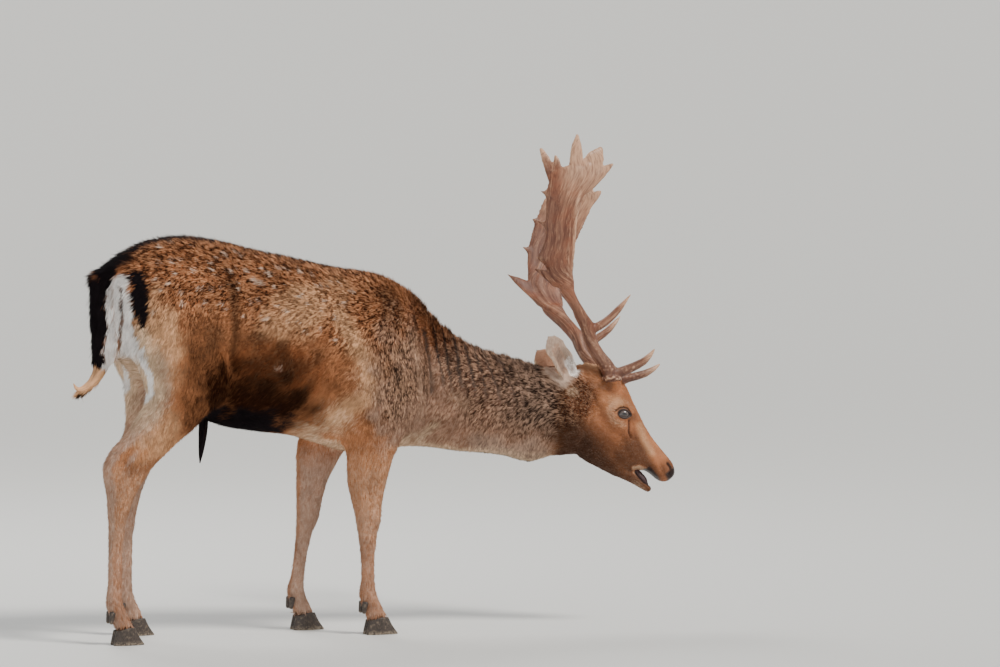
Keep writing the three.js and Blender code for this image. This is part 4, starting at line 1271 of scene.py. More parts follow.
def noise(tree, scale, detail=3.0, vector=None):
    """The value of a Noise Texture in object coordinates, or in the given ones."""
    node = tree.nodes.new("ShaderNodeTexNoise")
    node.inputs["Scale"].default_value = scale
    node.inputs["Detail"].default_value = detail
    if vector is None:
        vector = tree.nodes.new("ShaderNodeTexCoord").outputs["Object"]
    tree.links.new(vector, node.inputs["Vector"])
    return node.outputs["Fac"]


# %% The pigment group
HAIR = {
    "root": colour(120, 84, 60),
    "brown": colour(188, 124, 84),
    "band": colour(208, 156, 116),
    "rust": colour(170, 84, 40),
    "gold": colour(234, 180, 136),
    "dark": colour(38, 12, 0),
    "grey": colour(184, 154, 136),
    "cream": colour(228, 198, 166),
    "ear_inside": colour(186, 160, 142),
    "spots": colour(228, 200, 178),
    "white": colour(252, 246, 242),
    "black": colour(24, 18, 21),
    "tip": colour(20, 8, 5),
}
pigment, pigment_in, pigment_out = new_group(
    "pigment",
    [("Height", "NodeSocketFloat", 0.4), ("Tone", "NodeSocketFloat", 0.5)],
    [("Color", "NodeSocketColor")],
)
height = pigment_in.outputs["Height"]
tone = pigment_in.outputs["Tone"]
tipped = read_mask(pigment, "tipped")
hair = blended(pigment, ranged(pigment, height, 0.0, 0.4), HAIR["root"], HAIR["brown"])
for name in ("rust", "gold", "dark", "grey", "cream", "ear_inside"):
    # These are blended tuft by tuft, so that a half mask is a mixture of hairs and not a flat half tone.
    mask = read_mask(pigment, name)
    shifted = calculated(pigment, "ADD", mask, calculated(pigment, "MULTIPLY_ADD", tone, 0.5, -0.25))
    mask = times(pigment, ranged(pigment, shifted, 0.0, 1.0), ranged(pigment, mask, 0.0, 0.15))
    hair = blended(pigment, mask, hair, HAIR[name])
# Grizzled hair has a pale band below its black tip.
in_band = times(pigment, ranged(pigment, height, 0.25, 0.42), ranged(pigment, tone, 0.3, 0.85), tipped)
band_share = calculated(pigment, "MULTIPLY_ADD", read_mask(pigment, "dark"), -0.42, 0.64)
hair = blended(pigment, times(pigment, in_band, band_share), hair, HAIR["band"])
spot = times(pigment, read_mask(pigment, "spots"), ranged(pigment, tone, 0.3, 0.6))
hair = blended(pigment, spot, hair, HAIR["spots"])
# The tip is black from two fifths of the height on, less often in light tufts and hardly at all on a spot.
tip_share = times(pigment, tipped, ranged(pigment, tone, 0.7, 0.36), ranged(pigment, height, 0.38, 0.62))
tip_share = times(pigment, tip_share, calculated(pigment, "MULTIPLY_ADD", spot, -0.7, 0.96))
hair = blended(pigment, tip_share, hair, HAIR["tip"])
for name in ("white", "black"):
    tone_shift = calculated(pigment, "MULTIPLY_ADD", tone, 0.4, -0.2)
    shifted = calculated(pigment, "ADD", read_mask(pigment, name), tone_shift)
    hair = blended(pigment, ranged(pigment, shifted, 0.2, 0.8), hair, HAIR[name])
# Wide soft patches and the tuft's own tone make it lighter or darker.
patchy = ranged(pigment, noise(pigment, 20.0, 4.0), 0.3, 0.7, 0.82, 1.14)
bright = times(pigment, patchy, calculated(pigment, "MULTIPLY_ADD", tone, 0.5, 0.72))
bright_colour = pigment.nodes.new("ShaderNodeCombineColor")
for channel in bright_colour.inputs:
    pigment.links.new(bright, channel)
hair = blended(pigment, 1.0, hair, bright_colour.outputs["Color"], "MULTIPLY")
pigment.links.new(hair, pigment_out.inputs["Color"])
print("pigment mixes", len(HAIR), "colours")


# %% The skin's and the coat's materials
def use_group(tree, group):
    node = tree.nodes.new("ShaderNodeGroup")
    node.node_tree = group
    return node


skin_material, nodes, links, shader = new_material("hide_with_short_fur")
tree = skin_material.node_tree
skin_pigment = use_group(tree, pigment)
fleck = noise(tree, 420.0, 2.0)
links.new(ranged(tree, fleck, 0.35, 0.65, 0.25, 0.75), skin_pigment.inputs["Height"])
links.new(ranged(tree, noise(tree, 300.0, 1.0), 0.35, 0.65, 0.35, 0.65), skin_pigment.inputs["Tone"])
bare = read_mask(tree, "bare")
bare_skin_colour = blended(tree, fleck, colour(30, 20, 18), colour(56, 42, 38))
links.new(blended(tree, bare, skin_pigment.outputs["Color"], bare_skin_colour), shader.inputs["Base Color"])
links.new(ranged(tree, bare, 0.0, 1.0, 0.75, 0.38), shader.inputs["Roughness"])
shader.inputs["Specular IOR Level"].default_value = 0.22
add_bump(tree, shader, noise(tree, 520.0, 3.0), 0.0012, 0.5)

coat_material, nodes, links, shader = new_material("coat_hair")
tree = coat_material.node_tree
coat_pigment = use_group(tree, pigment)
links.new(read_mask(tree, "along_hair"), coat_pigment.inputs["Height"])
links.new(read_mask(tree, "tone"), coat_pigment.inputs["Tone"])
links.new(coat_pigment.outputs["Color"], shader.inputs["Base Color"])
shader.inputs["Roughness"].default_value = 0.8
shader.inputs["Specular IOR Level"].default_value = 0.07
print("materials for skin and coat are ready")

# %% [markdown]
# ## The skin as a mesh
# The net becomes a mesh with one attribute for every mask. It stands for all the solids of flesh.

# %% Skin
skin = new_object("skin", skin_points, skin_faces, skin_material)


def store(obj, name, values):
    """Keeps one number for each point of the mesh."""
    attribute = obj.data.attributes.new(name, "FLOAT", "POINT")
    attribute.data.foreach_set("value", np.asarray(values, np.float32))


head_along, _, head_out = in_head(skin_points).T
face_plane = np.stack([head_along, head_out], axis=1)
nose_pad = ramp(head_along, 0.255, 0.262) * ramp(head_out, -0.058, -0.05)
in_nostril = line_shape(face_plane, NOSTRIL, 0.006) * cheekwards
in_gland = line_shape(face_plane, [(0.101, -0.038), (0.112, -0.048), (0.124, -0.058)], 0.004) * cheekwards
eye_rim = np.zeros(len(skin_points))
for side_name in SIDES:
    outward, along_eye, up_eye = eye_axes(side_name)
    away = skin_points - EYES[side_name]
    rim = ramp(almond(away @ along_eye, away @ up_eye), 1.4, 1.15)
    eye_rim = np.maximum(eye_rim, rim * (np.linalg.norm(away, axis=1) < 0.03))
in_mouth = ramp(head_along, 0.19, 0.2) * ramp(skin_normals @ CROWN, -0.6, -0.85)
in_mouth *= ramp(head_out, -0.066, -0.07) * ramp(head_out, -0.1, -0.096)
on_jaw_top = ramp(head_along, 0.2, 0.208) * ramp(skin_normals @ CROWN, 0.5, 0.7)
on_jaw_top *= ramp(head_out, -0.092, -0.096)
skin_bare = np.maximum.reduce([nose_pad, in_nostril, 0.8 * in_gland, eye_rim, in_mouth, on_jaw_top])
skin_bare = skin_bare * (on_head > 0.5)
store(skin, "bare", skin_bare)
for name, mask in skin_marks.items():
    store(skin, name, mask)
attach(skin, "root")
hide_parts(*FLESH)
print("skin has", len(skin.data.polygons), "four-sided faces")

# %% [markdown]
# ## The lie of the coat
# Hair grows away from the nose: up the face, back along the neck and barrel, down the sides, and straight
# down the legs and the tail. A direction is set for every point of the skin from its region, laid flat into
# the skin, and then smoothed over the net, so that the regions flow into one another as a real coat does.

# %% Which way the hair lies
skin_places = in_body(skin_points)
forward, left, up = skin_places.T
back_drop = back_height(forward) - up


def mixed(first, second, share):
    """From the first direction towards the second by each point's share."""
    return first + (np.asarray(second) - first) * share[:, None]


lie = np.tile([-1.0, 0.0, -0.1], (len(skin_points), 1))
lie = mixed(lie, [-0.8, 0.0, -0.6], ramp(back_drop, 0.05, 0.2))
lie = mixed(lie, [-0.45, 0.0, -0.95], ramp(back_drop, 0.04, 0.16) * ramp(forward, -0.42, -0.56))
lie = mixed(lie, [-0.3, 0.0, -1.0], blotch(skin_places, (0.0, 0.62), (0.13, 0.2), 61))
lie = mixed(lie, [-1.0, 0.0, 0.0], ramp(skin_normals[:, 2], -0.4, -0.8) * (1 - on_leg))
lie = mixed(lie, [-0.9, 0.05, -0.35], neck_share(skin_points) * ramp(back_drop, 0.02, 0.1))
lie = mixed(lie, [-0.55, 0.0, -1.0], neck_share(skin_points) * ramp(back_drop, 0.1, 0.2))
lie = mixed(lie, [-0.15, 0.0, -1.0], ramp(forward, -0.655, -0.68))
lie = mixed(lie, [-0.12, 0.0, -1.0], ramp(up, 0.56, 0.42) * (1 - head_share(skin_points)))
face_lie = mixed(np.tile(-NOSE, (len(skin_points), 1)), -NOSE * 0.8 - CROWN * 0.6, cheekwards)
lie = lie + (face_lie - lie) * head_share(skin_points)[:, None]
on_tail_now = tail_share(skin_points)
tail_lie = np.tile([-0.05, 0.0, -1.0], (len(skin_points), 1))
tail_lie = mixed(tail_lie, [-0.55, 0.0, -0.8], ramp(up, 0.67, 0.64))
tail_lie = mixed(tail_lie, [0.1, 0.0, -1.0], ramp(up, 0.61, 0.59))
lie = lie + (tail_lie - lie) * on_tail_now[:, None]
for side in (1, -1):
    root, tip, _, _ = ear_axis(side)
    share, across, inward = ear_places(skin_points, side)
    mine = ear_share(skin_points) * (np.hypot(across, inward) < 0.055)
    lie = lie + (unit(tip - root) - lie) * mine[:, None]
# At the whorl on the flank the hair turns round a point.
from_whorl = skin_places[:, [0, 2]] - WHORL
whorl_share = ramp(np.linalg.norm(from_whorl, axis=1), 0.03, 0.008) * ramp(left, -0.05, -0.1)
turning = np.stack([from_whorl[:, 1], np.zeros(len(left)), -from_whorl[:, 0]], axis=1)
lie = lie + (unit(turning) - lie) * whorl_share[:, None]


def laid_flat(directions, normals):
    """The part of each direction that lies in the skin, at length one."""
    return unit(directions - normals * np.sum(directions * normals, axis=1, keepdims=True))


lie = laid_flat(lie, skin_normals)
for _ in range(3):
    lie = laid_flat(eased(lie, 0.6, 4), skin_normals)
sway = 0.2 * ripple(skin_places, 0.055, 62) + 0.12 * ripple(skin_places, 0.02, 63)
lie = laid_flat(lie + np.cross(skin_normals, lie) * sway[:, None], skin_normals)
print("the coat's lie is set")

# %% Length, width and lift of the hair
is_head = head_share(skin_points)
is_ear = ear_share(skin_points)
hair_length = 0.019 + 0.005 * ramp(back_drop, 0.05, 0.0) * (1 - is_head)
hair_length += 0.006 * ramp(forward, -0.6, -0.68)
hair_length += (0.016 - hair_length) * blotch(skin_places, (-0.57, 0.72), (0.1, 0.13), 64)
hair_length += (0.0105 - hair_length) * ramp(up, 0.62, 0.36) * (1 - is_head)
# The lowest hair hangs over the edge of the horn, and a tuft covers the root of the dewclaws.
hair_length += 0.009 * ramp(up, 0.062, 0.048)
hair_length += 0.007 * ramp(np.abs(up - 0.092), 0.018, 0.004) * ramp(skin_normals[:, 0], 0.0, -0.6)
face_length = 0.0095 - 0.0035 * ramp(head_along, 0.0, 0.08) - 0.002 * ramp(head_along, 0.12, 0.22)
face_length += 0.008 * ramp(head_along, -0.015, -0.06)
hair_length += (face_length - hair_length) * ramp(is_head, 0.3, 1.0)
poll = mound(in_head(skin_points) - [-0.028, 0.0, -0.012], (0.034, 0.045, 0.034)) * (1 - is_ear)
hair_length += 0.014 * poll * is_head
hair_length += (0.005 + 0.0045 * skin_marks["ear_inside"] - hair_length) * is_ear
for side in (1, -1):
    share, over, inward = ear_places(skin_points, side)
    hair_length *= 1 - 0.5 * ramp(share, 0.75, 0.95) * is_ear * (np.hypot(over, inward) < 0.06)
hair_length += (0.034 - hair_length) * on_tail_now
hair_width = 0.15 * hair_length + 0.0002
tip_height = coat_depth(skin_points) * 0.95
hair_lift = np.clip(tip_height / hair_length, 0.1, 0.66)
hair_lift = hair_lift * (1 + 0.5 * ramp(back_drop, 0.03, 0.0) * (1 - is_head))
# Grizzled fur differs from tuft to tuft; the short fur of the face is nearly even.
tone_spread = 1 - 0.42 * is_head * (1 - is_ear) * (1 - mottled_cheek(in_head(skin_points)))
print("hair from", round(hair_length.min() * 1000, 1), "to", round(hair_length.max() * 1000, 1), "mm long")

# %% [markdown]
# ## Tufts
# A coat of single hairs would need millions of them, so each tuft is a small closed blade of four faces:
# three corners in the skin and a point at the tip, standing for ten or twenty hairs stuck together as they
# are in any coat. Tufts are sown at random over the skin's faces. Neighbours lean towards a shared point,
# because hair gathers in locks, and every lock has its own tone. Each tuft takes its masks from its root.
# For the export each has its own small patch on an unwrapped map of the skin, at its root's place.

# %% Sowing
quad_corners = skin_points[skin_faces]
diagonals = np.cross(quad_corners[:, 2] - quad_corners[:, 0], quad_corners[:, 3] - quad_corners[:, 1])
face_areas = np.linalg.norm(diagonals, axis=1) / 2
face_middles = quad_corners.mean(axis=1)


def sown(face_weights, count, chance):
    """Random roots on the skin: for each, its face and the shares of the face's four corners."""
    steps = np.cumsum(face_areas * face_weights)
    chosen = np.searchsorted(steps, chance.uniform(0, steps[-1], count))
    chosen = np.minimum(chosen, len(skin_faces) - 1)
    u, v = chance.uniform(0, 1, (2, count))
    shares = np.stack([(1 - u) * (1 - v), u * (1 - v), u * v, (1 - u) * v], axis=1)
    return skin_faces[chosen], shares


def at_roots(values, corners, shares):
    """A value of the skin at each root, weighted from the face's four corners."""
    if values.ndim == 1:
        return np.sum(values[corners] * shares, axis=1)
    return np.sum(values[corners] * shares[:, :, None], axis=1)


def lock_of(roots, size, chance_seed):
    """Which lock each root belongs to: ragged cells of about that size, numbered from 0."""
    ragged_place = roots + 0.35 * size * np.stack(
        [ripple(roots, size * 2.2, chance_seed + axis) for axis in range(3)], axis=1
    )
    cells = np.floor(ragged_place / size).astype(np.int64)
    keys = cells[:, 0] * 73856093 ^ cells[:, 1] * 19349663 ^ cells[:, 2] * 83492791
    _, number = np.unique(keys, return_inverse=True)
    return number.reshape(-1)


# %% One coat piece
def keep_map(obj, places, faces):
    """Keeps each point's place on the unwrapped map, for all the faces that meet at it."""
    uv_map = obj.data.uv_layers.new(name="OFBake")
    uv_map.data.foreach_set("uv", places[faces.ravel()].astype(np.float32).ravel())


ALONG_HAIR = np.array([0.0, 0.0, 0.12, 1.0])
BLADE_FACES = np.array([(0, 1, 3), (1, 2, 3), (2, 0, 3), (0, 2, 1)])
PATCH = np.array([(-0.0013, -0.001), (0.0013, -0.001), (0.0, -0.0002), (0.0, 0.0018)])
YAW_SPREAD = 0.13
LOCK_TONE = 0.6
BLADE_THICKNESS = 0.38
coat_triangles = 0


def coat_piece(name, face_weights, count, seed, unwrap, lock_size, gather=0.5):
    """Sows `count` tufts over the weighted faces: root + lie x length, lifted off the skin, in one object."""
    global coat_triangles
    chance = np.random.default_rng(seed)
    corners, shares = sown(face_weights, count, chance)
    roots = at_roots(skin_points, corners, shares)
    normals = unit(at_roots(skin_normals, corners, shares))
    lies = laid_flat(at_roots(lie, corners, shares), normals)
    lengths = at_roots(hair_length, corners, shares) * chance.uniform(0.7, 1.2, count)
    widths = at_roots(hair_width, corners, shares) * chance.uniform(0.75, 1.25, count)
    lifts = at_roots(hair_lift, corners, shares) * (0.35 + 1.1 * chance.uniform(0, 1, count) ** 1.6)
    lifts = np.where(chance.uniform(0, 1, count) > 0.95, lifts * 2.0, lifts)
    across = np.cross(normals, lies)
    yaw = chance.normal(0, YAW_SPREAD, count)[:, None]
    along = unit(lies + across * yaw + normals * lifts[:, None])
    tips = roots + along * lengths[:, None]

    # Tips lean towards the middle of their lock's tips.
    locks = lock_of(roots, lock_size, seed)
    members = np.bincount(locks)
    middle = np.stack([np.bincount(locks, tips[:, axis]) / members for axis in range(3)], axis=1)
    tips = tips + (middle[locks] - tips) * (gather * chance.uniform(0.3, 1.0, count))[:, None]
    lock_tone = chance.uniform(0, 1, len(members))[locks]
    tones = LOCK_TONE * lock_tone + (1 - LOCK_TONE) * chance.uniform(0, 1, count)
    tones = 0.5 + at_roots(tone_spread, corners, shares) * (tones - 0.5)

    along = unit(tips - roots)
    across = unit(np.cross(normals, along))
    outward = np.cross(along, across)
    half = across * (widths / 2)[:, None]
    thick = outward * (widths * BLADE_THICKNESS)[:, None]
    sunk = roots - normals * (0.1 * lengths * lifts + 0.0003)[:, None]
    points = np.stack([sunk - half, sunk + half, sunk + thick, tips], axis=1).reshape(-1, 3)
    faces = (np.arange(count)[:, None, None] * 4 + BLADE_FACES).reshape(-1, 3)
    made = new_object(name, points, faces, coat_material)

    # Rounded shading: each blade is lit as part of the coat's surface, a little rounder than flat.
    sides = across * 0.85
    shading = unit(np.stack([normals - sides, normals + sides, normals, normals + along * 0.35], axis=1))
    made.data.normals_split_custom_set_from_vertices(shading.reshape(-1, 3))
    store(made, "along_hair", np.tile(ALONG_HAIR, count))
    store(made, "tone", np.repeat(tones, 4))
    for mark, mask in markings(roots, normals).items():
        store(made, mark, np.repeat(mask, 4))

    patches = (unwrap(roots)[:, None, :] * 0.99 + 0.005 + PATCH).reshape(-1, 2)
    keep_map(made, patches, faces)
    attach(made, "root")
    coat_triangles += len(faces)
    print(f"{name}: {count} tufts, {len(faces)} triangles")


# %% Unwrapped maps of the skin
def turn_share(rise, reach):
    """The angle whose tangent is rise over reach, as a share of a full turn from 0 to 1."""
    return np.arctan2(rise, reach) / (2 * np.pi) + 0.5


def turn_about(points, middle_up):
    """Share of a full turn about a level line along the body at that height."""
    places = in_body(points)
    return turn_share(places[:, 2] - middle_up(places[:, 0]), places[:, 1])


def trunk_map(low, high):
    """Along the body across the map, round the body up it."""
    def unwrap(points):
        along_body = (in_body(points)[:, 0] - low) / (high - low)
        turned = turn_about(points, lambda forward: back_height(forward) - 0.19)
        return np.clip(np.stack([along_body, turned], axis=1), 0, 1)
    return unwrap


def head_map(points):
    """Down the face across the map, round the head up it, and each ear in a strip of its own at the top."""
    places = in_head(points)
    turned = turn_share(places[:, 2] + 0.07, places[:, 1])
    result = np.stack([(places[:, 0] + 0.12) / 0.4, turned * 0.78], axis=1)
    for index, side in enumerate((1, -1)):
        share, over, inward = ear_places(points, side)
        mine = (ear_share(points) > 0.5) & (np.hypot(over, inward) < 0.06)
        strip = np.stack([share, 0.8 + 0.1 * index + 0.09 * turn_share(inward, over)], axis=1)
        result = np.where(mine[:, None], strip, result)
    return np.clip(result, 0, 1)


def leg_map(end):
    """The two legs of one end side by side: round the leg across the map, height up it."""
    upper = {side: "_".join((end, side, "cannon")) for side in ("right", "left")}
    middles = {side: box_middle(upper[side]) for side in upper}

    def unwrap(points):
        places = in_body(points)
        result = np.zeros((len(points), 2))
        for index, side in enumerate(("right", "left")):
            mine = (places[:, 1] > 0) == (side == "left")
            away = points - middles[side]
            turned = turn_share(away[:, 1], away[:, 0])
            result[mine, 0] = (index + 0.04 + 0.92 * turned[mine]) / 2
            result[mine, 1] = places[mine, 2] / 0.6
        return np.clip(result, 0, 1)
    return unwrap


def tail_map(points):
    places = in_body(points)
    turned = turn_share(places[:, 1], places[:, 0] + 0.708)
    return np.clip(np.stack([turned, (places[:, 2] - 0.58) / 0.34], axis=1), 0, 1)


# %% Which faces belong to which piece
middle_forward, _, middle_up = in_body(face_middles).T
face_head = head_share(face_middles) > 0.5
face_tail = tail_share(face_middles) > 0.5
LEG_TOP = 0.5
face_leg = (middle_up < LEG_TOP) & ~face_head & (middle_forward < 0.12)
low_body = (middle_up < LEG_TOP) & (middle_forward > -0.44) & (middle_forward < -0.2)
low_body |= (middle_up > 0.4) & (middle_forward > -0.44) & (middle_forward < 0.16) & (
    np.abs(in_body(face_middles)[:, 1]) < 0.028
)
face_leg &= ~low_body
face_trunk = ~(face_head | face_tail | face_leg)
face_bare = np.max(skin_bare[skin_faces], axis=1)
furred = ramp(face_bare, 0.5, 0.1)
print("faces on trunk, legs, head, tail:", face_trunk.sum(), face_leg.sum(), face_head.sum(), face_tail.sum())

# %% The coat, piece by piece
FEWER = 1
# Along the body: name, where it starts and ends, how many tufts, and the size of a lock.
TRUNK_PARTS = [
    ("coat_rump", -0.8, -0.47, 46000, 0.006), ("coat_loin", -0.47, -0.27, 46000, 0.006),
    ("coat_barrel", -0.27, -0.07, 46000, 0.006), ("coat_shoulder", -0.07, 0.12, 46000, 0.0045),
    ("coat_neck", 0.12, 0.3, 38000, 0.0045), ("coat_nape", 0.3, 0.62, 38000, 0.0045),
]
for number, (name, low, high, tufts, lock_size) in enumerate(TRUNK_PARTS):
    here = face_trunk & (middle_forward >= low) & (middle_forward < high)
    print(name, "covers", round(float((face_areas * here).sum()), 3), "square metres")
    coat_piece(name, here.astype(float), tufts // FEWER, 100 + number, trunk_map(low, high), lock_size)
# Off the trunk: name, weights of the faces, how many tufts, map, size of a lock, and how far tips gather.
fore_faces = face_leg & (middle_forward > -0.35)
hind_faces = face_leg & (middle_forward <= -0.35)
OTHER_PARTS = [
    ("coat_head", face_head * furred, 46000, head_map, 0.005, 0.35),
    ("coat_fore_legs", fore_faces * furred, 20000, leg_map("fore"), 0.006, 0.4),
    ("coat_hind_legs", hind_faces * furred, 22000, leg_map("hind"), 0.006, 0.4),
    ("coat_tail", face_tail.astype(float), 9000, tail_map, 0.012, 0.6),
]
for number, (name, weights, tufts, unwrap, lock_size, gather) in enumerate(OTHER_PARTS):
    coat_piece(name, weights, tufts // FEWER, 110 + number, unwrap, lock_size, gather)
print("the coat has", coat_triangles, "triangles")

# %% [markdown]
# ## Antlers
# An antler is bone that grew under velvet: long grooves, where its blood vessels lay, run up the beam and
# fan out over the palm into every point. Rubbing has polished the ridges and tips pale and left the grooves
# brown. The rib of the near palm and the top of each palm are paler still with a painted highlight, and the
# rear of each palm is darker with painted shade. At the foot sits the burr, a ring of pearls. Each side's
# four solids are covered with one fine net, smoothed as the skin was, and given a grain: for every point, its
# place across the antler in shares of the width there, and its place along it, shortened nine times. Any
# noise read at the grain's places makes streaks that follow the growth.

# %% The antlers' nets
ANTLER_PARTS = ["beam", "palm", "brow_tine", "trez_tine"]
ANTLER_VOXEL = 0.0019
ANTLER_SMOOTHINGS = 34
# The palm grows out of the beam in a long taper: at these rises, the rear and front edges of the solids
# now, and the edges wanted.
PALM_FOOT_RISES = [0.16, 0.18, 0.2, 0.22, 0.24, 0.26, 0.28, 0.3]
PALM_FOOT = {
    "right": (
        [-0.119, -0.135, -0.146, -0.181, -0.2, -0.207, -0.184, -0.182],
        [-0.065, -0.08, -0.095, -0.103, -0.104, -0.107, -0.108, -0.11],
        [-0.11, -0.126, -0.145, -0.17, -0.192, -0.21, -0.211, -0.194],
        [-0.07, -0.086, -0.098, -0.106, -0.109, -0.111, -0.111, -0.11],
    ),
    "left": (
        [-0.118, -0.134, -0.146, -0.168, -0.188, -0.208, -0.226, -0.182],
        [-0.066, -0.081, -0.095, -0.104, -0.104, -0.101, -0.098, -0.091],
        [-0.116, -0.134, -0.15, -0.17, -0.19, -0.208, -0.226, -0.182],
        [-0.066, -0.08, -0.089, -0.093, -0.095, -0.096, -0.096, -0.091],
    ),
}


def antler_net(side_name):
    """The four solids of one side as one smooth net: (points, faces)."""
    solids, triangles = joined_solids([f"antler_{side_name}_{part}" for part in ANTLER_PARTS], 0.0005)
    net, faces = remeshed(solids, triangles, ANTLER_VOXEL)
    start, end = net_edges(faces)
    once = eased(net, 0.55, ANTLER_SMOOTHINGS, start, end)
    net = once + 0.85 * eased(net - once, 0.55, ANTLER_SMOOTHINGS, start, end)
    places = in_antler(net, SIDES[side_name])
    low_now, high_now, low_wanted, high_wanted = [
        np.interp(places[:, 1], PALM_FOOT_RISES, edge) for edge in PALM_FOOT[side_name]
    ]
    share = (places[:, 0] - low_now) / (high_now - low_now)
    inside = ramp(share, -0.8, -0.4) * ramp(share, 1.3, 1.1)
    inside *= ramp(places[:, 1], 0.135, 0.165) * ramp(places[:, 1], 0.33, 0.3)
    wanted = low_wanted + share * (high_wanted - low_wanted)
    net = net + (FORE @ HEAD_AXES) * (inside * (wanted - places[:, 0]))[:, None]
    near_foot = 0.5 * ramp(np.abs(places[:, 1] - 0.225), 0.06, 0.03)
    rear_edge = 0.5 * ramp(share, 0.35, 0.05) * ramp(places[:, 1], 0.26, 0.3) * ramp(places[:, 1], 0.5, 0.46)
    return eased(net, np.maximum(near_foot, rear_edge), 30, start, end), faces


antler_nets = {side_name: antler_net(side_name) for side_name in SIDES}
for side_name, (net, faces) in antler_nets.items():
    print(side_name, "antler:", len(faces) * 2, "triangles")


# %% The grain of an antler
GRAIN_SLICE = 0.012
GRAIN_HALF_WIDTHS = np.array([0.045, 0.016])
GRAIN_STRETCH = 9


def slices(at, values, step):
    """For slices of `at`: their middles, and each column's smoothed middle and half width in `values`."""
    cells = np.arange(at.min(), at.max() + step, step)
    number = np.clip(((at - cells[0]) / step).astype(int), 0, len(cells) - 1)
    low = np.full((len(cells), values.shape[1]), np.inf)
    high = np.full((len(cells), values.shape[1]), -np.inf)
    np.minimum.at(low, number, values)
    np.maximum.at(high, number, values)
    filled = np.isfinite(low[:, 0])
    kernel = np.array([1, 3, 5, 6, 5, 3, 1]) / 24
    middle, half = [], []
    for column in range(values.shape[1]):
        centre = np.interp(cells, cells[filled], (low + high)[filled, column] / 2)
        width = np.interp(cells, cells[filled], (high - low)[filled, column] / 2)
        padded = np.pad(np.stack([centre, width]), ((0, 0), (3, 3)), mode="edge")
        middle.append(np.convolve(padded[0], kernel, "valid"))
        half.append(np.convolve(padded[1], kernel, "valid"))
    return cells + step / 2, np.stack(middle, 1), np.stack(half, 1)


def grain_of(points, side_name):
    """For every point: its grain place, its share of the way to its tine's tip, its place in the antler."""
    side = SIDES[side_name]
    places = in_antler(points, side)
    at, middle, half = slices(places[:, 1], places[:, [0, 2]], GRAIN_SLICE)
    centre = np.stack([np.interp(places[:, 1], at, middle[:, column]) for column in (0, 1)], axis=1)
    reach = np.stack([np.interp(places[:, 1], at, half[:, column]) for column in (0, 1)], axis=1)
    across = (places[:, [0, 2]] - centre) / np.maximum(reach, 0.012) * GRAIN_HALF_WIDTHS
    grain = np.stack([across[:, 0], across[:, 1], places[:, 1] / GRAIN_STRETCH], axis=1)
    to_tip = np.zeros(len(points))
    for part in ("brow_tine", "trez_tine"):
        tine = in_antler(solid_arrays(f"antler_{side_name}_{part}")[0], side)
        root = tine[np.argsort(tine[:, 0])[:8]].mean(axis=0)
        tip = tine[np.argmax(tine[:, 0])]
        run = tip - root
        share = (places - root) @ run / (run @ run)
        off_line = np.linalg.norm(places - root - share[:, None] * run, axis=1)
        low, high = tine.min(axis=0) - 0.004, tine.max(axis=0) + 0.004
        mine = np.all((places > low) & (places < high), axis=1) & (share > 0.12) & (off_line < 0.05)
        tine_side = unit(np.cross(run, [0.1, 0.2, 1.0]))
        tine_other = np.cross(unit(run), tine_side)
        away = places - root
        up_tine = np.linalg.norm(away, axis=1) / GRAIN_STRETCH
        grain[mine] = np.stack([away @ tine_side, away @ tine_other, up_tine], axis=1)[mine]
        to_tip[mine] = share[mine]
    return grain, to_tip, places


# %% Grooves, pearls and polish
PALM_RIB = [
    (-0.111, 0.26), (-0.111, 0.32), (-0.109, 0.376), (-0.103, 0.432), (-0.091, 0.469), (-0.075, 0.505),
]


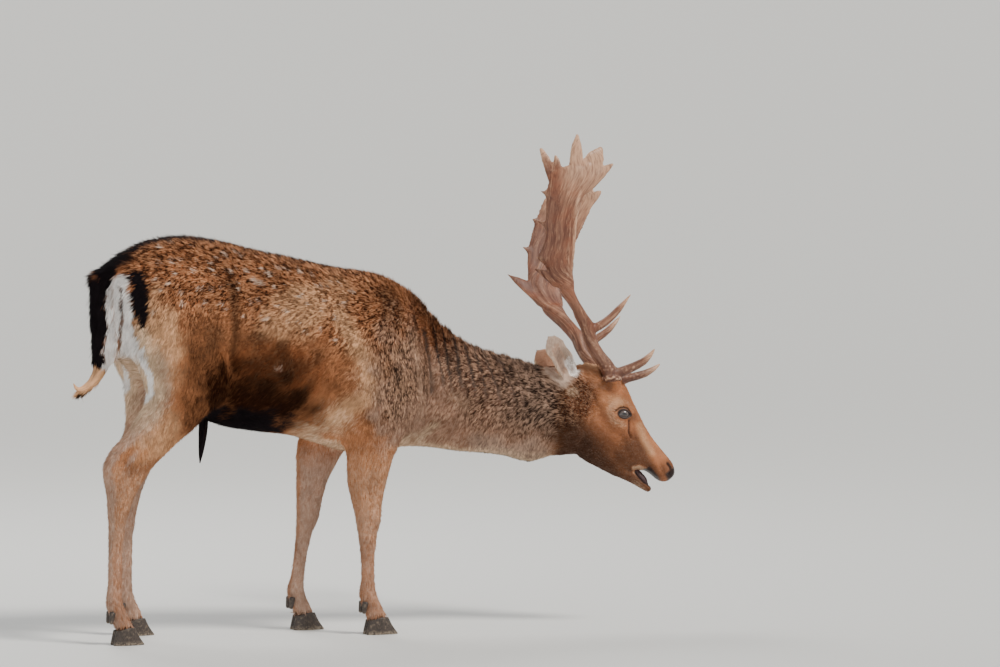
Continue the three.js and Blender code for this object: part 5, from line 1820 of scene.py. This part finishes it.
def antler_piece(side_name, material):
    net, faces = antler_nets[side_name]
    start, end = net_edges(faces)
    grain, to_tip, places = grain_of(net, side_name)
    fore, rise, _ = places.T
    normals = point_normals(net, faces)
    flutes = ripple(grain, 0.016, 71)
    fine = ripple(grain, 0.0075, 72)
    above_burr = ramp(rise, 0.012, 0.03)
    thin = ramp(to_tip, 1.0, 0.6)
    groove = (ramp(np.abs(flutes), 0.22, 0.0) + 0.35 * ramp(np.abs(fine), 0.3, 0.0)) * thin
    groove = groove * ramp(ripple(grain, 0.045, 75), -0.5, 0.6)
    raised = (-0.0005 * groove + 0.0005 * flutes) * above_burr
    # The burr: two uneven rows of pearls round the foot.
    on_burr = ramp(np.abs(rise - 0.003), 0.009, 0.0025)
    pearls = 0.5 + 0.5 * ripple(places, 0.0085, 73)
    raised += on_burr * (0.0012 + 0.0052 * np.clip(pearls, 0, 1))
    raised += 0.0016 * ramp(rise, 0.045, 0.015) * np.clip(ripple(places, 0.01, 74), 0, 1) * above_burr
    # The fold down the near palm's front edge stands up as a rib.
    rib = line_shape(places[:, :2], PALM_RIB, 0.01) * (side_name == "right")
    raised += 0.0026 * rib
    # The points of the palm end blunt.
    raised += 0.0028 * ramp(rise, 0.49, 0.55)
    net = net + normals * (raised + 0.0003)[:, None]
    bend = np.sum((neighbour_mean(net, start, end) - net) * normals, axis=1)
    sharp = eased(ramp(-bend, 0.00002, 0.00028), 0.5, 2, start, end)
    palm_tip = ramp(rise, 0.5, 0.56)
    # Pale where rubbing polished the ridges and tips; the top of each palm and the near palm's rib get a
    # painted highlight.
    top_highlight = ramp(rise, 0.38, 0.54) * ramp(fore, -0.165, -0.12)
    polish_and_highlight = np.clip(sharp + ramp(to_tip, 0.55, 1.0) + 0.6 * palm_tip + 0.3 * rib, 0, 1)
    polish_and_highlight = np.maximum(polish_and_highlight, 0.88 * top_highlight)
    polish_and_highlight = np.maximum(polish_and_highlight * above_burr, 0.9 * on_burr * ramp(pearls, 0.35, 0.8))
    made = new_object(f"antler_{side_name}", net, faces, material)
    grain_attribute = made.data.attributes.new("grain_place", "FLOAT_VECTOR", "POINT")
    grain_attribute.data.foreach_set("vector", grain.astype(np.float32).ravel())
    store(made, "groove", np.clip(groove * above_burr, 0, 1))
    store(made, "polish_and_highlight", polish_and_highlight)
    # The foot of the antler is darker bone; the rear half of the palm gets painted shade.
    rear_half_shade = ramp(fore, -0.12, -0.17) * ramp(rise, 0.22, 0.28) * ramp(rise, 0.48, 0.42)
    store(made, "foot", np.maximum(ramp(rise, 0.2, 0.01), 0.6 * rear_half_shade))
    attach(made, "root")
    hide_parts(*[f"antler_{side_name}_{part}" for part in ANTLER_PARTS])


# %% Antler material
antler_material, nodes, links, shader = new_material("polished_antler")
tree = antler_material.node_tree
grain_vector = nodes.new("ShaderNodeAttribute")
grain_vector.attribute_name = "grain_place"
streak = noise(tree, 380.0, 4.0, grain_vector.outputs["Vector"])
broad_streak = noise(tree, 110.0, 3.0, grain_vector.outputs["Vector"])
bone = blended(tree, ranged(tree, broad_streak, 0.35, 0.68), colour(98, 56, 40), colour(140, 95, 72))
bone = blended(tree, ranged(tree, noise(tree, 26.0, 3.0), 0.42, 0.68, 0.0, 0.6), bone, colour(142, 80, 52))
bone = blended(tree, ranged(tree, streak, 0.54, 0.7, 0.0, 0.72), bone, colour(80, 40, 26))
bone = blended(tree, ranged(tree, streak, 0.45, 0.3, 0.0, 0.42), bone, colour(206, 154, 120))
bone = blended(tree, times(tree, read_mask(tree, "groove"), 0.62), bone, colour(80, 40, 26))
# Darker at the foot, and painted shade on the rear half of the palm.
bone = blended(tree, times(tree, read_mask(tree, "foot"), 0.65), bone, colour(84, 50, 38))
# Polish, and the painted highlight on rib and palm top, make the bone pale.
pale = times(tree, read_mask(tree, "polish_and_highlight"), ranged(tree, streak, 0.7, 0.4, 0.38, 0.8))
bone = blended(tree, pale, bone, colour(226, 180, 146))
links.new(bone, shader.inputs["Base Color"])
links.new(ranged(tree, pale, 0.0, 1.0, 0.52, 0.34), shader.inputs["Roughness"])
shader.inputs["Specular IOR Level"].default_value = 0.45
add_bump(tree, shader, times(tree, streak, -1.0), 0.001, 0.6)
for side_name in SIDES:
    antler_piece(side_name, antler_material)
print("antlers are dressed")

# %% [markdown]
# ## Eyes and lids
# A deer's eye is a large dark ball with a brown iris and a level, oblong pupil; out of doors it mirrors the
# sky as a blue-grey haze, which here is a painted reflection in the ball's colour. Its wet rim is bare and
# nearly black. The ball is a sphere with the bulge of the cornea on it. Each lid's rim is a thin tube that
# lies on the ball along the edge of the opening, where the skin ends.


# %% Eyeballs
def eyeball(side_name, rings=40, around=56):
    """A sphere round the eye's own axis; within 35 degrees of it the cornea adds up to 0.9 mm."""
    outward, along, upward = eye_axes(side_name)
    away = np.linspace(0, np.pi, rings + 1)[1:-1]
    turns = np.linspace(0, 2 * np.pi, around, endpoint=False)
    radius = EYE_RADIUS - 0.0004 + 0.0009 * ramp(away, 0.62, 0.25)
    ring_side = np.outer(radius * np.sin(away), np.cos(turns))[..., None] * along
    ring_up = np.outer(radius * np.sin(away), np.sin(turns))[..., None] * upward
    rings_points = ring_side + ring_up + (radius * np.cos(away))[:, None, None] * outward
    front = outward * (EYE_RADIUS + 0.0005)
    back = -outward * (EYE_RADIUS - 0.0004)
    points = np.concatenate([rings_points.reshape(-1, 3), front[None], back[None]]) + EYES[side_name]
    faces = ring_faces(rings - 1, around)
    return points, faces if side_name == "right" else faces[:, ::-1]


def eye_material(side_name):
    """Dark ball; in the eye's own axes an oblong pupil, a blue-grey painted reflection of the sky over the
    iris, and a brown edge.
    """
    made, nodes, links, shader = new_material("eye_" + side_name + "_wet")
    tree = made.node_tree
    outward, along, upward = eye_axes(side_name)
    turned = Matrix(np.stack([along, upward, np.cross(along, upward)], axis=1).tolist()).to_euler()
    mapping = nodes.new("ShaderNodeMapping")
    mapping.vector_type = "TEXTURE"
    mapping.inputs["Location"].default_value = Vector(EYES[side_name])
    mapping.inputs["Rotation"].default_value = turned
    links.new(nodes.new("ShaderNodeTexCoord").outputs["Object"], mapping.inputs["Vector"])
    parts = nodes.new("ShaderNodeSeparateXYZ")
    links.new(mapping.outputs["Vector"], parts.inputs["Vector"])

    def oval(wide, tall, lift):
        """1 on an ellipse in the plane of the eye's opening, less inside it and more outside."""
        over = calculated(tree, "DIVIDE", parts.outputs["X"], wide)
        height = calculated(tree, "DIVIDE", calculated(tree, "SUBTRACT", parts.outputs["Y"], lift), tall)
        squares = calculated(tree, "ADD", times(tree, over, over), times(tree, height, height))
        return calculated(tree, "SQRT", squares)

    iris = ranged(tree, oval(0.0125, 0.0105, 0.0), 1.05, 0.75)
    # A blue-grey painted reflection of the sky, lying over the iris.
    sky_reflection = ranged(tree, oval(0.01, 0.0062, -0.002), 1.1, 0.45)
    pupil = ranged(tree, oval(0.007, 0.003, 0.0012), 1.15, 0.8)
    look = blended(tree, iris, colour(20, 13, 12), colour(62, 46, 40))
    look = blended(tree, times(tree, sky_reflection, 0.7), look, colour(116, 104, 100))
    look = blended(tree, times(tree, pupil, 0.9), look, colour(22, 22, 28))
    links.new(look, shader.inputs["Base Color"])
    shader.inputs["Roughness"].default_value = 0.12
    shader.inputs["Specular IOR Level"].default_value = 0.6
    shader.inputs["Coat Weight"].default_value = 0.6
    shader.inputs["Coat Roughness"].default_value = 0.02
    return made


for side_name in SIDES:
    points, faces = eyeball(side_name)
    made = new_object("eyeball_" + side_name, points, faces, eye_material(side_name))
    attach(made, "root")
    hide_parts("eye_" + side_name)
print("eyeballs have", len(faces), "triangles each")

# %% Rims of the lids
lid_material, nodes, links, shader = new_material("wet_lid_rim")
tree = lid_material.node_tree
rim_colour = blended(tree, noise(tree, 700.0), colour(34, 22, 19), colour(66, 48, 42))
links.new(rim_colour, shader.inputs["Base Color"])
shader.inputs["Roughness"].default_value = 0.6
add_bump(tree, shader, noise(tree, 900.0), 0.0004)


def closed_loop_tube(centres, radii, around=14):
    """A tube round a closed line of places: (points, four-sided faces), faces outward."""
    run = unit(np.roll(centres, -1, axis=0) - np.roll(centres, 1, axis=0))
    middle = centres.mean(axis=0)
    first_side = unit(centres - middle - run * np.sum((centres - middle) * run, axis=1, keepdims=True))
    second_side = np.cross(run, first_side)
    points = rings_round(centres, radii, first_side, second_side, around)
    ring = np.arange(len(centres))[:, None]
    here = np.arange(around)[None]
    after_ring = (ring + 1) % len(centres)
    after = (here + 1) % around
    faces = np.stack([
        ring * around + here, ring * around + after, after_ring * around + after, after_ring * around + here,
    ], axis=2)
    return points, faces.reshape(-1, 4)


def lid_line(side_name, spread, stand, count=72):
    """Places on the ball where the opening's measure equals `spread`, standing `stand` off its surface."""
    outward, along, upward = eye_axes(side_name)
    turns = np.linspace(0, 2 * np.pi, count, endpoint=False)
    sizes = np.full(count, 0.01)
    for _ in range(12):
        measure_now = almond(sizes * np.cos(turns), sizes * np.sin(turns))
        sizes = sizes * spread / measure_now
    over, height = sizes * np.cos(turns), sizes * np.sin(turns)
    radius = EYE_RADIUS + stand
    depth = np.sqrt(np.maximum(radius ** 2 - over ** 2 - height ** 2, 1e-8))
    line = over[:, None] * along + height[:, None] * upward + depth[:, None] * outward
    return EYES[side_name] + line, turns


RIM_SPREAD = 1.04
RIM_STAND = 0.0003
RIM_RADIUS = 0.0011
UPPER_LID_MORE = 0.0015
FRONT_CORNER_MORE = 0.0008
for side_name in SIDES:
    line, turns = lid_line(side_name, RIM_SPREAD, RIM_STAND)
    radii = RIM_RADIUS + UPPER_LID_MORE * np.clip(np.sin(turns), 0, 1)
    radii += FRONT_CORNER_MORE * np.clip(np.cos(turns), 0, 1) ** 6
    points, faces = closed_loop_tube(line, radii)
    made = new_object(f"lid_rim_{side_name}", points, faces, lid_material)
    recalculated = bmesh.new()
    recalculated.from_mesh(made.data)
    bmesh.ops.recalc_face_normals(recalculated, faces=recalculated.faces)
    recalculated.to_mesh(made.data)
    recalculated.free()
    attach(made, "root")
print("lids have their rims")

# %% [markdown]
# ## Hooves
# A deer stands on two toes, each in a sheath of horn that is rounded outside, flat towards the cleft and
# flat below. Horn grows down from the hairline in faint rings, and its lower edge is scuffed. Each claw is
# a surface of two parameters, the turn round it and the height; two dewclaws hang behind the pastern.


# %% Claws
def claw_surface(low, high, outer_side, rings=16, around=44):
    """Outlines that widen down to a flat sole, rounder on the side away from the cleft: (points, faces)."""
    height = high[2]
    turns = np.linspace(0, 2 * np.pi, around, endpoint=False)
    levels = np.concatenate([[0.0, 0.0008, 0.0024], np.linspace(0.005, height, rings)])
    up = levels / height
    middle_x = low[0] + (high[0] - low[0]) * 0.4
    middle_y = (low[1] + high[1]) / 2
    half = (high[1] - low[1]) / 2
    forward = np.cos(turns)
    ahead = (high[0] - middle_x) * (1 - 0.52 * up - 0.05 * np.sin(np.pi * up))
    behind = (middle_x - low[0]) * (1 - 0.24 * up)
    pointed = np.where(forward > 0, 1 - 0.38 * np.abs(forward) ** 2.2, 1.0)
    rounder = np.where(np.sin(turns) * outer_side > 0, 1.0, 0.93)
    # The sole's edge is worn round; growth rings are a quarter of a millimetre high.
    edge = 1 - 0.05 * ramp(levels, 0.003, 0.0) ** 2
    ring_mark = 1 + 0.01 * np.sin(levels * 2 * np.pi / 0.0046) * ramp(levels, 0.004, 0.01)
    size = (edge * ring_mark)[:, None]
    length = np.where(forward > 0, ahead[:, None], behind[:, None])
    x = middle_x + length * forward * size
    y = middle_y + (half * (1 - 0.09 * up))[:, None] * (pointed * rounder * np.sin(turns)) * size
    # The hairline falls from the toe to the heel.
    z = levels[:, None] * (1 - 0.16 * ramp(forward, 0.3, -1.0))
    points = np.stack([x, y, z], axis=2).reshape(-1, 3)
    points = np.concatenate([points, [[middle_x, middle_y, 0.0], [middle_x, middle_y, height]]])
    return points, ring_faces(len(levels), around)


horn_material, nodes, links, shader = new_material("dark_horn")
tree = horn_material.node_tree
stretched = nodes.new("ShaderNodeMapping")
stretched.inputs["Scale"].default_value = (1.0, 1.0, 0.16)
links.new(nodes.new("ShaderNodeTexCoord").outputs["Object"], stretched.inputs["Vector"])
fibre = noise(tree, 900.0, 3.0, stretched.outputs["Vector"])
horn = blended(tree, ranged(tree, fibre, 0.35, 0.65), colour(34, 27, 24), colour(74, 62, 54))
horn = blended(tree, ranged(tree, noise(tree, 120.0), 0.5, 0.75), horn, colour(104, 90, 76))
scuffed = times(tree, read_mask(tree, "low_edge"), ranged(tree, noise(tree, 260.0), 0.4, 0.6))
horn = blended(tree, scuffed, horn, colour(142, 128, 110))
links.new(horn, shader.inputs["Base Color"])
links.new(ranged(tree, fibre, 0.3, 0.7, 0.4, 0.62), shader.inputs["Roughness"])
add_bump(tree, shader, fibre, 0.0005, 0.5)

for leg in LEG_NAMES:
    leg_side = SIDES[leg.split("_")[1]]
    for toe, away in (("inner", -leg_side), ("outer", leg_side)):
        node = f"{leg}_claw_{toe}"
        points, faces = claw_surface(*[np.array(corner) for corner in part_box(node)], away)
        made = new_object(node + "_horn", points, faces, horn_material)
        store(made, "low_edge", ramp(points[:, 2], 0.012, 0.0))
        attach(made, "root")
        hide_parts(node)
        node = f"{leg}_dewclaw_{toe}"
        low, high = [np.array(corner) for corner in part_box(node)]
        share = np.array([0.0, 0.03, 0.12, 0.3, 0.5, 0.7, 0.85, 0.94, 0.985, 1.0])
        radii = 0.0078 - 0.003 * share
        radii = radii * np.array([0.25, 0.8, 1.0, 1.0, 1.0, 1.0, 0.97, 0.85, 0.55, 0.15])
        middle = np.array([(low[0] + high[0]) / 2 + 0.0022, (low[1] + high[1]) / 2, 0.0])
        line = middle + np.outer(share, [-0.0042, 0, 0])
        line[:, 2] = high[2] + (low[2] - high[2]) * share
        points, faces = closed_tube(line, radii, 28)
        made = new_object(node + "_horn", points, faces, horn_material)
        store(made, "low_edge", ramp(points[:, 2], low[2] + 0.006, low[2]))
        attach(made, "root")
        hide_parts(node)
print("sixteen hooves and dewclaws have horn")

# %% [markdown]
# ## Long hair
# The tail ends in a curl of fine hair and the sheath carries a brush. Both hang free of the skin, so here
# single long blades are drawn along a line that runs down the middle of the bunch: each starts somewhere on
# it, keeps its own place round it, and narrows to a point with the bunch.


# %% Bunches of long hair
def along_line(line, share):
    """Places at shares of the way along a line of places, and the direction there."""
    return read_line(line, share), unit(read_line(line, share + 0.02) - read_line(line, share - 0.02))


def smooth_line(places, count=40):
    """A curve through a few places: the polyline, evenly filled and eased."""
    line = read_line(places, np.linspace(0, 1, count))
    for _ in range(14):
        line[1:-1] = (line[:-2] + 2 * line[1:-1] + line[2:]) / 4
    return line


def hair_bunch(name, places, reach, count, seed, width, start_most, long, masks=None, steps=5):
    """Blades along a line through places; `reach` is the bunch's half width at even shares of the line."""
    chance = np.random.default_rng(seed)
    line = smooth_line(places)
    start = start_most * chance.uniform(0, 1, count) ** 0.8
    end = start + long * chance.uniform(0.6, 1.15, count)
    end = np.minimum(end, 1.0 + 0.04 * chance.uniform(-1, 1, count))
    shares = start[:, None] + (end - start)[:, None] * np.linspace(0, 1, steps)
    middle, run = along_line(line, np.clip(shares, 0, 1))
    first_side = unit(np.cross(run, [0.0, 1.0, 0.02]))
    second_side = np.cross(run, first_side)
    turn = chance.uniform(0, 2 * np.pi, count)[:, None]
    bow = 0.25 * np.sin(shares * 7 + chance.uniform(0, 6, count)[:, None])
    out = np.sqrt(chance.uniform(0.05, 1, count))[:, None] + 0.1 * bow
    half = np.interp(shares, np.linspace(0, 1, len(reach)), reach)
    away = (
        np.cos(turn + 0.35 * bow)[..., None] * first_side + np.sin(turn + 0.35 * bow)[..., None] * second_side
    )
    centre = middle + (half * out)[..., None] * away
    grow = unit(np.gradient(centre, axis=1))
    side = unit(np.cross(grow, away))
    lift = np.cross(side, grow)
    widths = width * chance.uniform(0.7, 1.3, count)[:, None] * np.linspace(1.0, 0.12, steps) ** 0.8
    rings = np.stack([
        centre - side * widths[..., None] / 2,
        centre + side * widths[..., None] / 2,
        centre + lift * widths[..., None] * 0.45,
    ], axis=2)
    points = rings.reshape(-1, 3)
    corner = np.arange(3)
    after = (corner + 1) % 3
    level = np.arange(steps - 1)[:, None] * 3
    a, b, c, d = level + corner, level + after, level + 3 + after, level + 3 + corner
    one = np.concatenate([
        np.stack([a, b, c], 2).reshape(-1, 3), np.stack([a, c, d], 2).reshape(-1, 3),
        [[0, 2, 1]], [[3 * steps - 3, 3 * steps - 2, 3 * steps - 1]],
    ])
    faces = (np.arange(count)[:, None, None] * 3 * steps + one).reshape(-1, 3)
    made = new_object(name, points, faces[:, ::-1], coat_material)
    shading = unit(np.repeat((away + 0.2 * lift)[:, :, None], 3, axis=2).reshape(-1, 3))
    made.data.normals_split_custom_set_from_vertices(shading)
    along_hair = np.repeat(np.tile(np.linspace(0.1, 1.0, steps), count), 3)
    store(made, "along_hair", along_hair)
    store(made, "tone", np.repeat(chance.uniform(0, 1, count), 3 * steps))
    if masks is None:
        marks = markings(centre[:, 3], away[:, 3])
        for mark, mask in marks.items():
            store(made, mark, np.repeat(mask, 3 * steps))
    else:
        for mark, value in masks.items():
            store(made, mark, np.full(len(points), value))
    patch = np.array([(-0.0012, -0.001), (0.0012, -0.001), (0.0, 0.0)])
    spread = np.stack([0.02 + 0.96 * turn[:, 0] / (2 * np.pi), 0.02 + 0.94 * start], axis=1)
    climb = np.linspace(0, 0.003, steps)
    patches = spread[:, None, None] + patch[None, None] + np.stack([np.zeros(steps), climb], 1)[None, :, None]
    keep_map(made, patches.reshape(-1, 2), faces[:, ::-1])
    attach(made, "root")
    print(f"{name}: {count} blades, {len(faces)} triangles")
    return made


# %% Tail curl and sheath brush
def body_line(places):
    return BODY + np.asarray(places, float)


hair_bunch(
    "tail_curl", body_line(TAIL_CURL), [0.02, 0.02, 0.017, 0.013, 0.009, 0.006, 0.004, 0.001],
    1500 // FEWER, 120, 0.0024, 0.62, 0.46,
)
brush_low, brush_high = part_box("sheath_brush")
brush_middle = box_middle("sheath_brush")
brush_heights = [
    brush_high.z + 0.004, brush_high.z * 0.62 + brush_low.z * 0.38, brush_low.z + 0.02, brush_low.z,
]
brush_line = [
    (brush_middle[0] + ahead, brush_middle[1], height)
    for ahead, height in zip((0.004, 0.002, -0.004, -0.006), brush_heights)
]
brush = hair_bunch(
    "sheath_hair", brush_line, [0.011, 0.011, 0.009, 0.006, 0.003, 0.001],
    420 // FEWER, 121, 0.0022, 0.5, 0.62, {"black": 0.93},
)
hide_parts("sheath_brush")

# %% [markdown]
# ## Inside the mouth
# The mouth stands a little open. Behind the lips lies the tongue, dark and moist, so the eye meets flesh
# and not daylight. It is one closed tube, flattened by having its places pressed towards the middle of the
# jaw.

# %% Tongue
TONGUE = [
    (0.176, 0.0, -0.104), (0.196, 0.0, -0.1), (0.216, 0.0, -0.098), (0.236, 0.0, -0.098), (0.25, 0.0, -0.097),
]
tongue_line = smooth_line(from_head(TONGUE), 20)
tongue_share = np.linspace(0, 1, 20)
tongue_size = 0.0085 * np.sqrt(np.clip(1 - np.abs(2 * tongue_share - 0.85) ** 3 * 0.55, 0.05, 1))
tongue_size = tongue_size * ramp(tongue_share, 1.06, 0.75) + 0.001
points, faces = closed_tube(tongue_line, tongue_size, 28)
tongue_places = in_head(points)
points = points + LEFT * (tongue_places[:, 1] * 0.15)[:, None]
points = points + point_normals(points, faces) * (0.0006 * ripple(points, 0.005, 81))[:, None]
tongue_material, nodes, links, shader = new_material("moist_tongue")
tree = tongue_material.node_tree
tongue_colour = blended(tree, noise(tree, 240.0), colour(44, 26, 28), colour(88, 56, 58))
links.new(tongue_colour, shader.inputs["Base Color"])
shader.inputs["Roughness"].default_value = 0.35
add_bump(tree, shader, noise(tree, 1100.0), 0.0006)
tongue = new_object("tongue", points, faces, tongue_material)
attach(tongue, "root")
print("tongue has", len(faces), "triangles")
